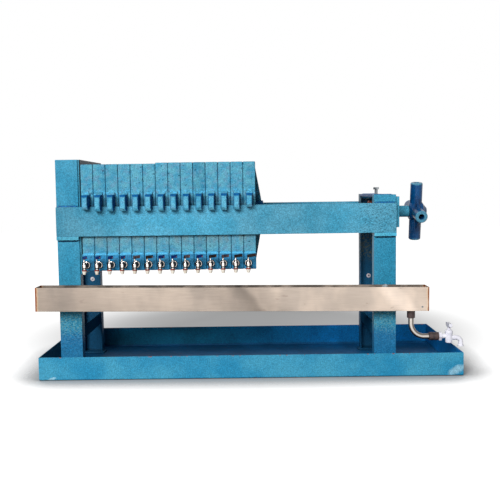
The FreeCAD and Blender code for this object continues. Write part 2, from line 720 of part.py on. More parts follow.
def tap_body():
    """Plastic bib tap with its hexagon, barrel and down-turned spout."""
    body = new_body("tap_body", x="tap_place", y="trough_middle", z="pipe_low")
    start = "(-tap_axis)"
    collar = outline(body, "tap_collar", "YZ_Plane", hexagon("tap_collar_flats"), start)
    pad(body, collar, "tap_collar_length")
    neck = circles(body, "tap_neck", "YZ_Plane", [("0", "0", "tap_neck_diameter")], start)
    pad(body, neck, "tap_axis")
    waist = "(tap_waist_diameter / 2)"
    cap = "(tap_barrel_diameter / 2)"
    cap_low = "(tap_barrel_rise - tap_cap_height)"
    profile = [
        ("0", "-tap_barrel_drop"),
        (f"{waist} - tap_foot_bevel", "-tap_barrel_drop"),
        (waist, "tap_foot_bevel - tap_barrel_drop"),
        (waist, cap_low),
        (cap, f"{cap_low} + tap_cap_flare"),
        (cap, "tap_barrel_rise - tap_cap_bevel"),
        (f"{cap} - tap_cap_bevel", "tap_barrel_rise"),
        ("0", "tap_barrel_rise"),
    ]
    revolve(body, outline(body, "tap_barrel", "YZ_Plane", profile), "V_Axis")
    level = circles(body, "spout_level", "YZ_Plane", [("0", "-tap_spout_drop", "tap_spout_diameter")])
    bend = "(tap_spout_reach - tap_spout_bend)"
    pad(body, level, bend)
    drop = "(-tap_spout_drop - tap_spout_bend)"
    spout = [("tap_spout_reach", "0", "tap_spout_diameter")]
    upright = circles(body, "spout_upright", "XY_Plane", spout, "-tap_mouth_drop")
    pad(body, upright, f"{drop} + tap_mouth_drop")
    quarter_bend(body, circles(body, "spout_section", "XY_Plane", spout, drop), bend, drop)
    lip = [("tap_spout_reach", "0", "tap_lip_diameter")]
    pad(body, circles(body, "spout_lip", "XY_Plane", lip, "-tap_mouth_drop"), "tap_lip_height")
    bore = [("tap_spout_reach", "0", "tap_spout_bore")]
    mouth = circles(body, "spout_mouth", "XY_Plane", bore, "-tap_mouth_drop")
    pocket(body, mouth, f"{drop} + tap_mouth_drop", backwards=True)


def tap_handle():
    """Stem and cross handle of the tap."""
    body = new_body("tap_handle", x="tap_place", y="trough_middle", z="pipe_low + tap_barrel_rise")
    stem = circles(body, "tap_stem", "XY_Plane", [("0", "0", "tap_stem_diameter")], "seat_gap")
    pad(body, stem, "tap_handle_gap")
    half = "tap_handle_length / 2"
    flat = "tap_handle_flat / 2"
    high = "tap_handle_gap + tap_handle_height"
    bar = [
        (f"-{half}", "tap_handle_gap + tap_handle_rise"),
        (f"-{flat}", "tap_handle_gap"),
        (flat, "tap_handle_gap"),
        (half, "tap_handle_gap + tap_handle_rise"),
        (half, high),
        (f"-{half}", high),
    ]
    pad(body, outline(body, "tap_bar", "YZ_Plane", bar), "tap_handle_width", midplane=True)


# --- filter plates and follower ---------------------------------------------


def casting(label, left, hook_depth, top):
    """Square casting with its lugs and its cock boss."""
    body = new_body(label, x=left)
    side = "(plate_size / 2)"
    face = outline(body, label + "_face", "YZ_Plane", box_corners(f"-{side}", "plate_low", side, top))
    slab = pad(body, face, "plate_thickness")
    doc.recompute()
    ends = faces_along(slab.Shape, Vector(1, 0, 0)) + faces_along(slab.Shape, Vector(-1, 0, 0))
    chamfer(body, slab, ends, "plate_chamfer")
    middle = "plate_thickness / 2"
    root = f"-{side} + plate_chamfer"
    under = "(rail_top + lug_seat)"
    lug_top = "(rail_top + lug_rise)"
    inner = "(-frame_depth / 2 - rail_thickness - lug_gap)"
    outer = f"({inner} - lug_lip)"
    hook = f"(rail_top - {hook_depth})"
    lug = [
        (root, under),
        (inner, under),
        (inner, f"{hook} + lug_bevel"),
        (f"{inner} - lug_bevel", hook),
        (f"{outer} + lug_corner", hook),
        (outer, f"{hook} + lug_corner"),
        (outer, f"{lug_top} - lug_corner"),
        (f"{outer} + lug_corner", lug_top),
        (f"-{side} - lug_root", lug_top),
        (f"-{side}", f"{lug_top} + lug_root"),
        (root, f"{lug_top} + lug_root"),
    ]
    lugs = pad(body, outline(body, label + "_lug", "YZ_Plane", lug, middle), "lug_width", midplane=True)
    mirror(body, [lugs], "XZ_Plane")
    boss = [
        (root, "plate_low + plate_chamfer"),
        ("boss_face", "plate_low + plate_chamfer"),
        ("boss_face", "boss_top - boss_bevel_drop"),
        ("boss_face + boss_bevel", "boss_top - boss_bevel"),
        (f"-{side}", "boss_top"),
        (root, "boss_top"),
    ]
    width = "plate_thickness - 2 * boss_margin"
    pad(body, outline(body, label + "_boss", "YZ_Plane", boss, middle), width, midplane=True)
    corners = new_sketch(body, label + "_notches", "XZ_Plane", "-boss_face")
    edges = (("boss_margin", "boss_notch"), ("plate_thickness - boss_margin", "-boss_notch"))
    for edge, run in edges:
        inner = f"{edge} + {run}"
        add_loop(corners, [(edge, "boss_top - boss_notch"), (edge, "boss_top"), (inner, "boss_top")])
    pocket(body, corners, "boss_proud")
    return body


def field(body, label, offset, floor, backwards):
    """Sink the ribbed filtering field into one face of a casting."""
    centre = "(plate_low + plate_size / 2)"
    half = "(field_size / 2)"
    square = box_corners(f"-{half}", f"{centre} - {half}", half, f"{centre} + {half}")
    pocket(body, outline(body, label, "YZ_Plane", square, offset), "field_recess", backwards=backwards)
    ribs = new_sketch(body, label + "_ribs", "YZ_Plane", floor)
    low = f"{centre} - {half} + field_rib_gap"
    high = f"{centre} + {half} - field_rib_gap"
    count = int(value("field_rib_count"))
    for number in range(count):
        left = f"({number} - ({count} - 1) / 2) * field_rib_pitch - field_rib_width / 2"
        add_loop(ribs, box_corners(left, low, f"{left} + field_rib_width", high))
    pad(body, ribs, "field_rib_height", backwards=backwards)


def filter_plate(number):
    """One loose plate of the stack."""
    label = f"plate_{number:02d}"
    left = f"head_face + plate_joint + {number - 1} * plate_pitch"
    top = "low_top" if number <= LOW_PLATES else "plate_top"
    hook_depth = "first_hook_depth" if number == 1 else "hook_depth"
    body = casting(label, left, hook_depth, top)
    field(body, label + "_right_field", "plate_thickness", "plate_thickness - field_recess", False)
    field(body, label + "_left_field", "0", "field_recess", True)
    eye = circles(body, label + "_eye", "YZ_Plane", [("0", "axis_height", "feed_bore")], "plate_thickness")
    pocket(body, eye, "plate_thickness")


def follower_plate():
    """Moving head: the last casting, ribbed behind and pushed by the screw."""
    body = casting("follower_plate", "follower_left", "follower_hook_depth", "plate_top")
    field(body, "follower_field", "0", "field_recess", True)
    boss = circles(
        body, "follower_boss", "YZ_Plane", [("0", "axis_height", "follower_boss_diameter")], "plate_thickness"
    )
    pad(body, boss, "follower_boss_height")
    back = "plate_thickness"
    crown = f"{back} + rib_height"
    crest = "follower_boss_diameter / 4"
    upright = [
        (f"{back} - rib_root", "axis_height + rib_reach"),
        (back, "axis_height + rib_reach"),
        (crown, f"axis_height + {crest}"),
        (crown, f"axis_height - {crest}"),
        (back, "axis_height - rib_reach"),
        (f"{back} - rib_root", "axis_height - rib_reach"),
    ]
    pad(body, outline(body, "upright_ribs", "XZ_Plane", upright), "rib_thickness", midplane=True)
    level = [
        (f"{back} - rib_root", "rib_reach"),
        (back, "rib_reach"),
        (crown, crest),
        (crown, f"-{crest}"),
        (back, "-rib_reach"),
        (f"{back} - rib_root", "-rib_reach"),
    ]
    pad(body, outline(body, "level_ribs", "XY_Plane", level, "axis_height"), "rib_thickness", midplane=True)
    nose = circles(
        body,
        "nose_pocket",
        "YZ_Plane",
        [("0", "axis_height", "nose_diameter + 2 * screw_fit")],
        "plate_thickness + follower_boss_height",
    )
    pocket(body, nose, "screw_pocket_depth")


# --- screw and capstan ------------------------------------------------------


def press_screw():
    """Screw with its nose in the follower and its neck in the capstan."""
    body = new_body("press_screw", x="nose_tip", z="axis_height")
    nose = "(nose_diameter / 2)"
    thread = "(screw_diameter / 2)"
    neck = "(neck_diameter / 2)"
    neck_at = "(thrust_face + neck_gap - nose_tip)"
    end = "(capstan_start - nose_tip)"
    profile = [
        ("0", "0"),
        ("0", f"{nose} - screw_bevel"),
        ("screw_bevel", nose),
        ("screw_pocket_depth", nose),
        ("screw_pocket_depth", f"{thread} - screw_bevel"),
        ("screw_pocket_depth + screw_bevel", thread),
        (neck_at, thread),
        (f"{neck_at} + {thread} - {neck}", neck),
        (end, neck),
        (end, "0"),
    ]
    revolve(body, outline(body, "screw_profile", "XZ_Plane", profile), "H_Axis")


def capstan_wheel():
    """Capstan with four bar sockets, webbed between the arms."""
    body = new_body("capstan_wheel", x="capstan_start + capstan_hub_back", z="axis_height")
    body.Placement.Rotation = Rotation(Vector(1, 0, 0), value("capstan_turn"))
    bind(body, "Placement.Rotation.Angle", "capstan_turn")
    left = "-capstan_hub_back"
    nose = "capstan_nose_reach"
    profile = [
        (left, "0"),
        (left, "capstan_hub_radius - capstan_hub_bevel"),
        (f"{left} + capstan_hub_bevel", "capstan_hub_radius"),
        (f"{nose} - capstan_nose_length", "capstan_hub_radius"),
        (f"{nose} - capstan_nose_length + capstan_nose_step", "capstan_nose_shoulder"),
        (nose, "capstan_nose_radius"),
        (nose, "0"),
    ]
    revolve(body, outline(body, "hub_profile", "XZ_Plane", profile), "H_Axis")
    half_arm = "(arm_diameter / 2)"
    half_section = [
        ("0", "0"),
        (half_arm, "0"),
        (half_arm, "capstan_radius - arm_chamfer"),
        (f"{half_arm} - arm_chamfer", "capstan_radius"),
        ("0", "capstan_radius"),
    ]
    arm = revolve(body, outline(body, "arm_section", "XZ_Plane", half_section), "V_Axis")
    rim = [
        ("0", "0"),
        ("-web_reach", "0"),
        ("-web_turn", "web_flare"),
        ("-web_waist / sqrt(2)", "web_waist / sqrt(2)"),
        ("-web_flare", "web_turn"),
        ("0", "web_reach"),
    ]
    web = pad(body, outline(body, "web_rim", "YZ_Plane", rim), "web_thickness", midplane=True)
    around(body, [arm, web], "X_Axis", 4)
    bore = circles(body, "bar_socket", "XY_Plane", [("0", "0", "socket_bore")], "capstan_radius")
    around(body, [pocket(body, bore, "socket_depth")], "X_Axis", 4)


# --- drain cocks ------------------------------------------------------------


def cock_place(number):
    """Formula for the X place of a cock's axis."""
    return f"head_face + plate_joint + {number - 1} * plate_pitch + plate_thickness / 2 + cock_offset"


def drain_cock(number):
    """Cock screwed into a plate's boss, with its nozzle over the trough."""
    label = f"cock_{number:02d}"
    body = new_body(label, x=cock_place(number), y="boss_face", z="cock_height")
    collar = circles(body, label + "_collar", "XZ_Plane", [("0", "0", "cock_collar_diameter")])
    pad(body, collar, "cock_collar_thickness")
    neck = circles(body, label + "_neck", "XZ_Plane", [("0", "0", "cock_neck_diameter")])
    pad(body, neck, "cock_reach")
    centre = ("0", "-cock_reach")
    barrel_low = "-cock_barrel_rise"
    barrel = circles(body, label + "_barrel", "XY_Plane", [(*centre, "cock_barrel_diameter")], barrel_low)
    pad(body, barrel, "2 * cock_barrel_rise")
    ring_low = "(-cock_barrel_rise - cock_ring_height)"
    ring = circles(body, label + "_ring", "XY_Plane", [(*centre, "cock_ring_diameter")], ring_low)
    pad(body, ring, "cock_ring_height")
    nozzle = circles(body, label + "_nozzle", "XY_Plane", [(*centre, "cock_nozzle_diameter")], ring_low)
    cone = pad(body, nozzle, "cock_nozzle_length", backwards=True)
    bind(cone, "TaperAngle", "-atan((cock_nozzle_diameter - cock_nozzle_mouth) / 2 / cock_nozzle_length)")
    mouth_low = f"{ring_low} - cock_nozzle_length"
    mouth = circles(body, label + "_bore", "XY_Plane", [(*centre, "cock_bore")], mouth_low)
    pocket(body, mouth, "cock_nozzle_length + cock_ring_height", backwards=True)


def cock_lever(number, angle):
    """Stem and lever that turn on top of a cock."""
    label = f"cock_lever_{number:02d}"
    top = "cock_height + cock_barrel_rise + seat_gap"
    body = new_body(label, x=cock_place(number), y="boss_face - cock_reach", z=top)
    body.Placement.Rotation = Rotation(Vector(0, 0, 1), -angle)
    stem = circles(body, label + "_stem", "XY_Plane", [("0", "0", "lever_stem_diameter")])
    pad(body, stem, "lever_stem_height")
    half = "lever_width / 2"
    bar = [
        (f"-{half}", f"-{half}"),
        ("lever_length - lever_tip_bevel", f"-{half} + lever_taper"),
        ("lever_length", f"-{half} + lever_tip_bevel"),
        ("lever_length", f"{half} - lever_tip_bevel"),
        ("lever_length - lever_tip_bevel", f"{half} - lever_taper"),
        (f"-{half}", half),
    ]
    pad(body, outline(body, label + "_bar", "XY_Plane", bar, "lever_stem_height"), "lever_thickness")


# --- assembly and export ----------------------------------------------------


def build():
    """Build every sub-part of the press."""
    drip_tray()
    post_pair("left_posts", "frame_left", "left_post_top")
    post_pair("right_posts", "right_post_left", "right_post_top")
    rail_seats()
    side_rails()
    fixed_head()
    tie_bars()
    crosshead()
    thrust_plate()
    screw_nut()
    lock_bolt()
    collecting_trough()
    drain_sockets()
    drain_pipe()
    tap_body()
    tap_handle()
    press_screw()
    capstan_wheel()
    follower_plate()
    loose_plates = int(value("plate_count"))
    for number in range(1, loose_plates + 1):
        filter_plate(number)
    for number in range(1, loose_plates + 2):
        drain_cock(number)
        cock_lever(number, LEVER_ANGLES[(number - 1) % len(LEVER_ANGLES)])
    doc.recompute()


def check():
    """Stop if any object failed or any sub-part has no sound shape."""
    for item in doc.Objects:
        if "Invalid" in item.State or "Error" in item.State:
            raise ValueError(f"{item.Label} failed: {item.State}")
    for body in subparts:
        if body.Shape.isNull() or not body.Shape.isValid():
            raise ValueError(f"{body.Label} has no sound shape")


def export():
    """Write each sub-part to its own STEP file."""
    os.makedirs("parts", exist_ok=True)
    for body in subparts:
        body.Shape.exportStep(f"parts/{body.Label}.step")
        print(body.Label, len(body.Shape.Solids), round(body.Shape.Volume / 1000.0, 1), "cm3")


build()
check()
export()
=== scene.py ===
"""Finish of a plate filter press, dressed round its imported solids.

The press is thirteen square cast plates and a ribbed follower that hang on two
rails, a screw with a capstan head, a row of drain cocks over a stainless trough
and a drip tray under it all.  Every length is in metres, in the frame of the
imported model: X along the rails, Y to the back, Z up.
"""

import json
import logging
import math
import random
from dataclasses import dataclass, field, replace
from enum import Enum
from typing import Callable, Iterable, Sequence

import bmesh
import bpy
from mathutils import Matrix, Vector

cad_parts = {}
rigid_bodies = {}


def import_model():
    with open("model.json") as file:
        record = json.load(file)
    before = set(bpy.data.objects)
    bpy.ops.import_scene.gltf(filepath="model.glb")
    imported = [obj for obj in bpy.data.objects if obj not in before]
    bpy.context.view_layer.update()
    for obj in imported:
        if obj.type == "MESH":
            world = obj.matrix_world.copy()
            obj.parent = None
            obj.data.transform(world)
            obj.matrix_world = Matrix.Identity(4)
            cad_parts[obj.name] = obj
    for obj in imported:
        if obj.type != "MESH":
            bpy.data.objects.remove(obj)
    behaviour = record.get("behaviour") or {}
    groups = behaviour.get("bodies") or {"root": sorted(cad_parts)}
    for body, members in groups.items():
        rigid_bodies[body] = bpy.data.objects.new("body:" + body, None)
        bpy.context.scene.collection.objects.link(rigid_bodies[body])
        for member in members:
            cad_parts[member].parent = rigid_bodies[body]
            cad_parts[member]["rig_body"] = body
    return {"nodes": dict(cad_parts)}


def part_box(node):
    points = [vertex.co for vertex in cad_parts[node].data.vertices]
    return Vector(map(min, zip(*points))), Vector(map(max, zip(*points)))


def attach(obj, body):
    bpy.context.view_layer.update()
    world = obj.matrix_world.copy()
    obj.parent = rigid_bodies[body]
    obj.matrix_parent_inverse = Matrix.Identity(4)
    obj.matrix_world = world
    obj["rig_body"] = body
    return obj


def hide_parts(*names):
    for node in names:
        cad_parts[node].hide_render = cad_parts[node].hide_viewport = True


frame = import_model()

LOG = logging.getLogger("filter_press")
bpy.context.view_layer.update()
PLATES = 13

Socket = bpy.types.NodeSocket
Colour = tuple[float, float, float]
Point = tuple[float, float, float]
# (coordinate, brightness) or (distance, radius), from one end to the other.
Stops = tuple[tuple[float, float], ...]
# Low and high end of a number, and, where they aren't 0 and 1, what it gives at each.
Band = tuple[float, ...]


class Slot(Enum):
    """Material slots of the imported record."""

    FRAME = "frame_paint"
    CAST = "cast_paint"
    TRAY = "tray_paint"
    STAINLESS = "stainless"
    SCREW = "screw_steel"
    BRONZE = "bronze"
    ZINC = "zinc"
    FITTING = "black_fitting"
    CHROME = "chrome"
    LEVER = "lever_black"
    PLASTIC = "white_plastic"


class Axis(Enum):
    """Axes that a turned piece can have."""

    X = "X"
    Y = "Y"
    Z = "Z"


# --- materials ---------------------------------------------------------------


def linear(colour: Colour) -> tuple[float, float, float, float]:
    """Turn a colour of 0 to 255 per channel into the linear values of a socket.

    Args:
        colour: red, green and blue as a painter's swatch states them.

    Returns:
        The same colour as linear red, green, blue and alpha.
    """
    full, knee, toe, offset, gamma = 255.0, 0.04045, 12.92, 0.055, 2.4
    parts = []
    for channel in colour:
        share = channel / full
        parts.append(share / toe if share <= knee else ((share + offset) / (1.0 + offset)) ** gamma)
    return (parts[0], parts[1], parts[2], 1.0)


class NodeDraft:
    """Lays out the nodes of one material."""

    def __init__(self, name: str) -> None:
        """Start an empty material.

        Args:
            name: the finish's own name.
        """
        self.material = bpy.data.materials.new(name)
        self.material.use_nodes = True
        self.tree = self.material.node_tree
        self.tree.nodes.clear()
        self.place = self.add("ShaderNodeTexCoord").outputs["Object"]

    def add(self, kind: str, **settings: object) -> bpy.types.Node:
        """Add a node and set its plain properties.

        Args:
            kind: the node's type name.
            **settings: properties of the node.

        Returns:
            The new node.
        """
        node = self.tree.nodes.new(kind)
        for key, setting in settings.items():
            setattr(node, key, setting)
        return node

    def feed(self, socket: Socket, source: object) -> None:
        """Link a socket to another socket, or set its value.

        Args:
            socket: the input to fill.
            source: an output socket or a plain value.
        """
        if isinstance(source, Socket):
            self.tree.links.new(source, socket)
        else:
            socket.default_value = source

    def math(self, operation: str, first: object, second: object = 0.0) -> Socket:
        """Work out a number from one or two others.

        Args:
            operation: the name of the sum, as the node states it.
            first: the first number.
            second: the second number, where the sum has one.

        Returns:
            The result.
        """
        node = self.add("ShaderNodeMath", operation=operation)
        self.feed(node.inputs[0], first)
        self.feed(node.inputs[1], second)
        return node.outputs[0]

    def times(self, first: object, second: object) -> Socket:
        """Multiply two numbers."""
        return self.math("MULTIPLY", first, second)

    def plus(self, first: object, second: object) -> Socket:
        """Add two numbers."""
        return self.math("ADD", first, second)

    def minus(self, first: object, second: object) -> Socket:
        """Take the second number from the first."""
        return self.math("SUBTRACT", first, second)

    def over(self, first: object, second: object) -> Socket:
        """Divide the first number by the second."""
        return self.math("DIVIDE", first, second)

    def above(self, source: object, limit: object) -> Socket:
        """Return 1 where a number is above a limit."""
        return self.math("GREATER_THAN", source, limit)

    def under(self, source: object, limit: object) -> Socket:
        """Return 1 where a number is under a limit."""
        return self.math("LESS_THAN", source, limit)

    def absolute(self, source: object) -> Socket:
        """Return a number without its sign."""
        return self.math("ABSOLUTE", source)

    def _part(self, vector: Socket, axis: Axis) -> Socket:
        """Take one coordinate out of a vector.

        Args:
            vector: the vector.
            axis: the coordinate's axis.

        Returns:
            The coordinate.
        """
        node = self.add("ShaderNodeSeparateXYZ")
        self.feed(node.inputs[0], vector)
        return node.outputs[axis.value]

    def along(self, axis: Axis) -> Socket:
        """Return one coordinate of the surface, in the object's own frame."""
        return self._part(self.place, axis)

    def facing(self, axis: Axis) -> Socket:
        """Return how far the surface faces along one axis, from -1 to 1."""
        return self._part(self.add("ShaderNodeTexCoord").outputs["Normal"], axis)

    def openness(self, reach: float) -> Socket:
        """Find how open the surface's surroundings are.

        Args:
            reach: how far to look, in metres.

        Returns:
            The openness, from 0 in a corner to 1.
        """
        node = self.add("ShaderNodeAmbientOcclusion", samples=8)
        node.inputs["Distance"].default_value = reach
        return node.outputs["AO"]

    def grey(self, level: object) -> Socket:
        """Turn a number into a grey.

        Args:
            level: the grey's brightness.

        Returns:
            The grey.
        """
        node = self.add("ShaderNodeCombineColor")
        for socket in node.inputs:
            self.feed(socket, level)
        return node.outputs[0]

    def mix_number(self, factor: object, first: object, second: object) -> Socket:
        """Mix two numbers.

        Args:
            factor: share of the second, from 0 to 1.
            first: the first number.
            second: the second number.

        Returns:
            The mixed number.
        """
        node = self.add("ShaderNodeMix", data_type="FLOAT")
        for index, source in ((0, factor), (2, first), (3, second)):
            self.feed(node.inputs[index], source)
        return node.outputs[0]

    def shade(self, colour: object, level: object) -> Socket:
        """Multiply a colour by a brightness."""
        return self.mix(1.0, colour, self.grey(level), "MULTIPLY")

    def course(self, source: object, stops: Stops) -> Socket:
        """Follow a listed course of brightness along a coordinate.

        Args:
            source: the coordinate.
            stops: (coordinate, brightness), from low to high.

        Returns:
            The brightness at the coordinate.
        """
        low, high = stops[0][0], stops[-1][0]
        ramp = self.add("ShaderNodeValToRGB")
        ramp.color_ramp.interpolation = "EASE"
        elements = ramp.color_ramp.elements
        tallest = max(level for _, level in stops)
        ready = len(elements)
        for index, (place, level) in enumerate(stops):
            at = (place - low) / (high - low)
            element = elements[index] if index < ready else elements.new(at)
            element.position = at
            share = level / tallest
            element.color = (share, share, share, 1.0)
        self.feed(ramp.inputs[0], self.over(self.minus(source, low), high - low))
        return self.times(ramp.outputs[0], tallest)

    def noise(self, scale: float, detail: float = 2.0, stretch: Point = (1.0, 1.0, 1.0)) -> Socket:
        """Make a smooth random field.

        Args:
            scale: features per metre.
            detail: octaves of finer features.
            stretch: factors on X, Y and Z; a small one draws the features out.

        Returns:
            The field, from 0 to 1.
        """
        mapping = self.add("ShaderNodeMapping")
        self.feed(mapping.inputs["Vector"], self.place)
        mapping.inputs["Scale"].default_value = stretch
        node = self.add("ShaderNodeTexNoise")
        self.feed(node.inputs["Vector"], mapping.outputs[0])
        node.inputs["Scale"].default_value = scale
        node.inputs["Detail"].default_value = detail
        return node.outputs["Fac"]

    def span(self, source: object, low: float, high: float, start: float = 0.0, end: float = 1.0) -> Socket:
        """Map a number smoothly from one span to another, clamped at both ends.

        Args:
            source: the number.
            low: where the span of the number starts.
            high: where it ends.
            start: what is given at the low end.
            end: what is given at the high end.

        Returns:
            The mapped number.
        """
        node = self.add("ShaderNodeMapRange", interpolation_type="SMOOTHSTEP")
        for index, part in enumerate((source, low, high, start, end)):
            self.feed(node.inputs[index], part)
        return node.outputs[0]

    def mix(self, factor: object, first: object, second: object, blend: str = "MIX") -> Socket:
        """Mix two colours; plain ones are given as 0 to 255 per channel.

        Args:
            factor: share of the second, from 0 to 1.
            first: the first colour.
            second: the second colour.
            blend: the way they are mixed.

        Returns:
            The mixed colour.
        """
        node = self.add("ShaderNodeMix", data_type="RGBA", blend_type=blend)
        self.feed(node.inputs[0], factor)
        for index, colour in ((6, first), (7, second)):
            self.feed(node.inputs[index], linear(colour) if isinstance(colour, tuple) else colour)
        return node.outputs[2]

    def bump(self, height: object, depth: float, below: object = None) -> Socket:
        """Raise the surface's normals by a height field.

        Args:
            height: the field, from 0 to 1.
            depth: how deep the field's full range is, in metres.
            below: normals of a coarser bump that this one lies on.

        Returns:
            The normals.
        """
        node = self.add("ShaderNodeBump")
        self.feed(node.inputs["Height"], height)
        node.inputs["Distance"].default_value = depth
        if below is not None:
            self.feed(node.inputs["Normal"], below)
        return node.outputs[0]

    def surface(self, colour: object, roughness: object, normal: object = None, **plain: float) -> None:
        """Close the material with one surface shader.

        Args:
            colour: base colour, as a socket or a plain colour.
            roughness: a socket or a number.
            normal: normals from a bump, if any.
            **plain: numbers for the shader's other sockets, with _ for spaces.
        """
        shader = self.add("ShaderNodeBsdfPrincipled")
        self.feed(shader.inputs["Base Color"], linear(colour) if isinstance(colour, tuple) else colour)
        self.feed(shader.inputs["Roughness"], roughness)
        if normal is not None:
            self.feed(shader.inputs["Normal"], normal)
        for key, number in plain.items():
            shader.inputs[key.replace("_", " ")].default_value = number
        output = self.add("ShaderNodeOutputMaterial")
        self.feed(output.inputs["Surface"], shader.outputs[0])


@dataclass(frozen=True)
class Finish:
    """A named surface finish that stands for one of the record's slots."""

    name: str
    slot: Slot

    def paint(self, draft: NodeDraft) -> None:
        """Lay out the finish's nodes."""
        raise NotImplementedError

    def material(self) -> bpy.types.Material:
        """Make the finish's material the first time it is asked for.

        Returns:
            The material.
        """
        found = bpy.data.materials.get(self.name)
        if found is None:
            draft = NodeDraft(self.name)
            self.paint(draft)
            found = draft.material
        return found


@dataclass(frozen=True)
class Enamel(Finish):
    """Sprayed enamel on rolled steel, a little cloudy and orange-peeled.

    The hammered runs, the inside's painted shade and its grit are left out where their
    field is None.
    """

    deep: Colour = (54, 148, 180)
    pale: Colour = (76, 160, 190)
    cloud_scale: float = 9.0
    clouds: Band = (0.32, 0.68)
    speckle: float = 0.3
    peel_depth: float = 0.0005
    ripple_depth: float = 0.0006
    roughness: float = 0.42
    specular: float = 0.1
    # Brightness along X, where given: painted light, a sheen on the rails and shade on the fixed head.
    course: Stops = ()
    # Painted shade in corners: how far to look, how dark, and over what openness.
    corner_reach: float = 0.012
    corner_level: float = 0.42
    corner_open: Band = (0.35, 0.85)
    runs_top: float | None = None
    # Painted highlight on the crests of the hammered cells, and painted shade in their dips.
    crest_highlight_colour: Colour = (92, 138, 128)
    runs_fade: float = 0.03
    crest_fade: float = 0.05
    crest_highlight: Band = (0.46, 0.66, 0.0, 0.40)
    dip_shade: Band = (0.34, 0.5, 0.62, 1.0)
    cell_depth: float = 5.0
    hammer_start: float | None = None
    hammer_fade: float = 0.08
    foot: Colour = (22, 104, 158)
    foot_paint: Band = (0.12, 0.17, 0.7, 0.0)
    foot_calm: Band = (0.075, 0.135, 0.25, 1.0)
    # Inner faces behind this depth get painted shade, the inner colour.
    inner_depth: float | None = None
    inner: Colour = (20, 78, 114)
    inner_shade_share: float = 0.94
    grit_bottom: float | None = None
    grit: Colour = (104, 112, 96)
    grit_fade: float = 0.05
    flecks: Band = (0.42, 0.62, 0.0, 0.7)

    def ground(self, draft: NodeDraft) -> Socket:
        """Lay out the clouded colour, with the painted light of its course, before any dirt.

        Args:
            draft: the material in the making.

        Returns:
            The colour.
        """
        clouds = draft.span(draft.noise(self.cloud_scale, 3.0), *self.clouds)
        colour = draft.mix(clouds, self.deep, self.pale)
        # Painted light and shade along X.
        if self.course:
            colour = draft.shade(colour, draft.course(draft.along(Axis.X), self.course))
        return colour

    def grain(self, draft: NodeDraft, colour: object) -> Socket:
        """Strew the paint with its fine and coarse specks, lighter and darker.

        Args:
            draft: the material in the making.
            colour: the paint so far.

        Returns:
            The specked paint.
        """
        weak = self.speckle / 4
        fine = draft.span(draft.noise(330.0, 2.0), 0.28, 0.72, 1.0 - self.speckle, 1.0 + self.speckle)
        coarse = draft.span(draft.noise(100.0, 2.0), 0.3, 0.7, 1.0 - weak, 1.0 + weak)
        return draft.shade(colour, draft.times(fine, coarse))

    def paint_corner_shade(self, draft: NodeDraft, colour: object) -> Socket:
        """Darken corners and joints with painted shade, by how open they are."""
        shut = draft.span(draft.openness(self.corner_reach), *self.corner_open, self.corner_level, 1.0)
        return draft.shade(colour, shut)

    def peel(self, draft: NodeDraft) -> Socket:
        """Lay out the ripple and the orange peel."""
        ripple = draft.bump(draft.noise(60.0, 1.0), self.ripple_depth)
        return draft.bump(draft.noise(330.0, 1.0), self.peel_depth, ripple)

    def _thick(self, draft: NodeDraft) -> Socket:
        """Find where the paint was laid on thick and dried in hammered cells.

        Args:
            draft: the material in the making.

        Returns:
            1 on the thick paint and 0 elsewhere.
        """
        height = draft.along(Axis.Z)
        low = draft.span(height, self.runs_top - self.runs_fade, self.runs_top + self.runs_fade, 1.0, 0.0)
        patch = draft.times(low, draft.span(height, *self.foot_calm))
        if self.hammer_start is not None:
            right = draft.span(draft.along(Axis.X), self.hammer_start, self.hammer_start + self.hammer_fade)
            patch = draft.math("MAXIMUM", patch, right)
        return patch

    def _hammered(self, draft: NodeDraft, colour: object, normal: Socket) -> tuple[Socket, Socket]:
        """Lay the hammered cells into the thick paint, with a painted highlight on their crests and painted
        shade in their dips, and the darker foot under them.

        Args:
            draft: the material in the making.
            colour: the paint so far.
            normal: its normals so far.

        Returns:
            The hammered paint and its normals.
        """
        patch = self._thick(draft)
        height = draft.along(Axis.Z)
        cells = draft.noise(150.0, 1.5, (1.0, 1.0, 1.5))
        low = draft.span(height, self.runs_top, self.runs_top + self.crest_fade, 1.0, 0.0)
        # Painted highlight on the crests and painted shade in the dips.
        crest_highlight = draft.times(draft.span(cells, *self.crest_highlight), low)
        colour = draft.mix(draft.times(patch, crest_highlight), colour, self.crest_highlight_colour)
        colour = draft.shade(colour, draft.mix_number(patch, 1.0, draft.span(cells, *self.dip_shade)))
        colour = draft.mix(draft.span(height, *self.foot_paint), colour, self.foot)
        return colour, draft.bump(draft.times(cells, patch), self.ripple_depth * self.cell_depth, normal)

    def _inner_shade_and_grit(self, draft: NodeDraft, colour: object) -> Socket:
        """Darken the inner faces with painted shade, and strew the right ones with grit.

        Args:
            draft: the material in the making.
            colour: the paint so far.

        Returns:
            The paint with its inner faces.
        """
        inside = draft.above(draft.along(Axis.Y), self.inner_depth)
        inside = draft.times(inside, draft.under(draft.facing(Axis.Y), 0.5))
        # Painted shade on the inner faces.
        colour = draft.mix(draft.times(inside, self.inner_shade_share), colour, self.inner)
        if self.grit_bottom is None:
            return colour
        right = draft.above(draft.along(Axis.X), 0.0)
        grit = draft.span(draft.along(Axis.Z), self.grit_bottom, self.grit_bottom + self.grit_fade)
        flecks = draft.span(draft.noise(190.0, 3.0), *self.flecks)
        mark = draft.times(draft.times(inside, right), draft.times(grit, flecks))
        return draft.mix(mark, colour, self.grit)

    def paint(self, draft: NodeDraft) -> None:
        """Lay out clouded paint, its hammered cells, its specks and its orange peel.

        Args:
            draft: the material in the making.
        """
        colour = self.ground(draft)
        normal = self.peel(draft)
        if self.runs_top is not None:
            colour, normal = self._hammered(draft, colour, normal)
        if self.inner_depth is not None:
            colour = self._inner_shade_and_grit(draft, colour)
        colour = self.paint_corner_shade(draft, self.grain(draft, colour))
        draft.surface(colour, self.roughness, normal, Specular_IOR_Level=self.specular)


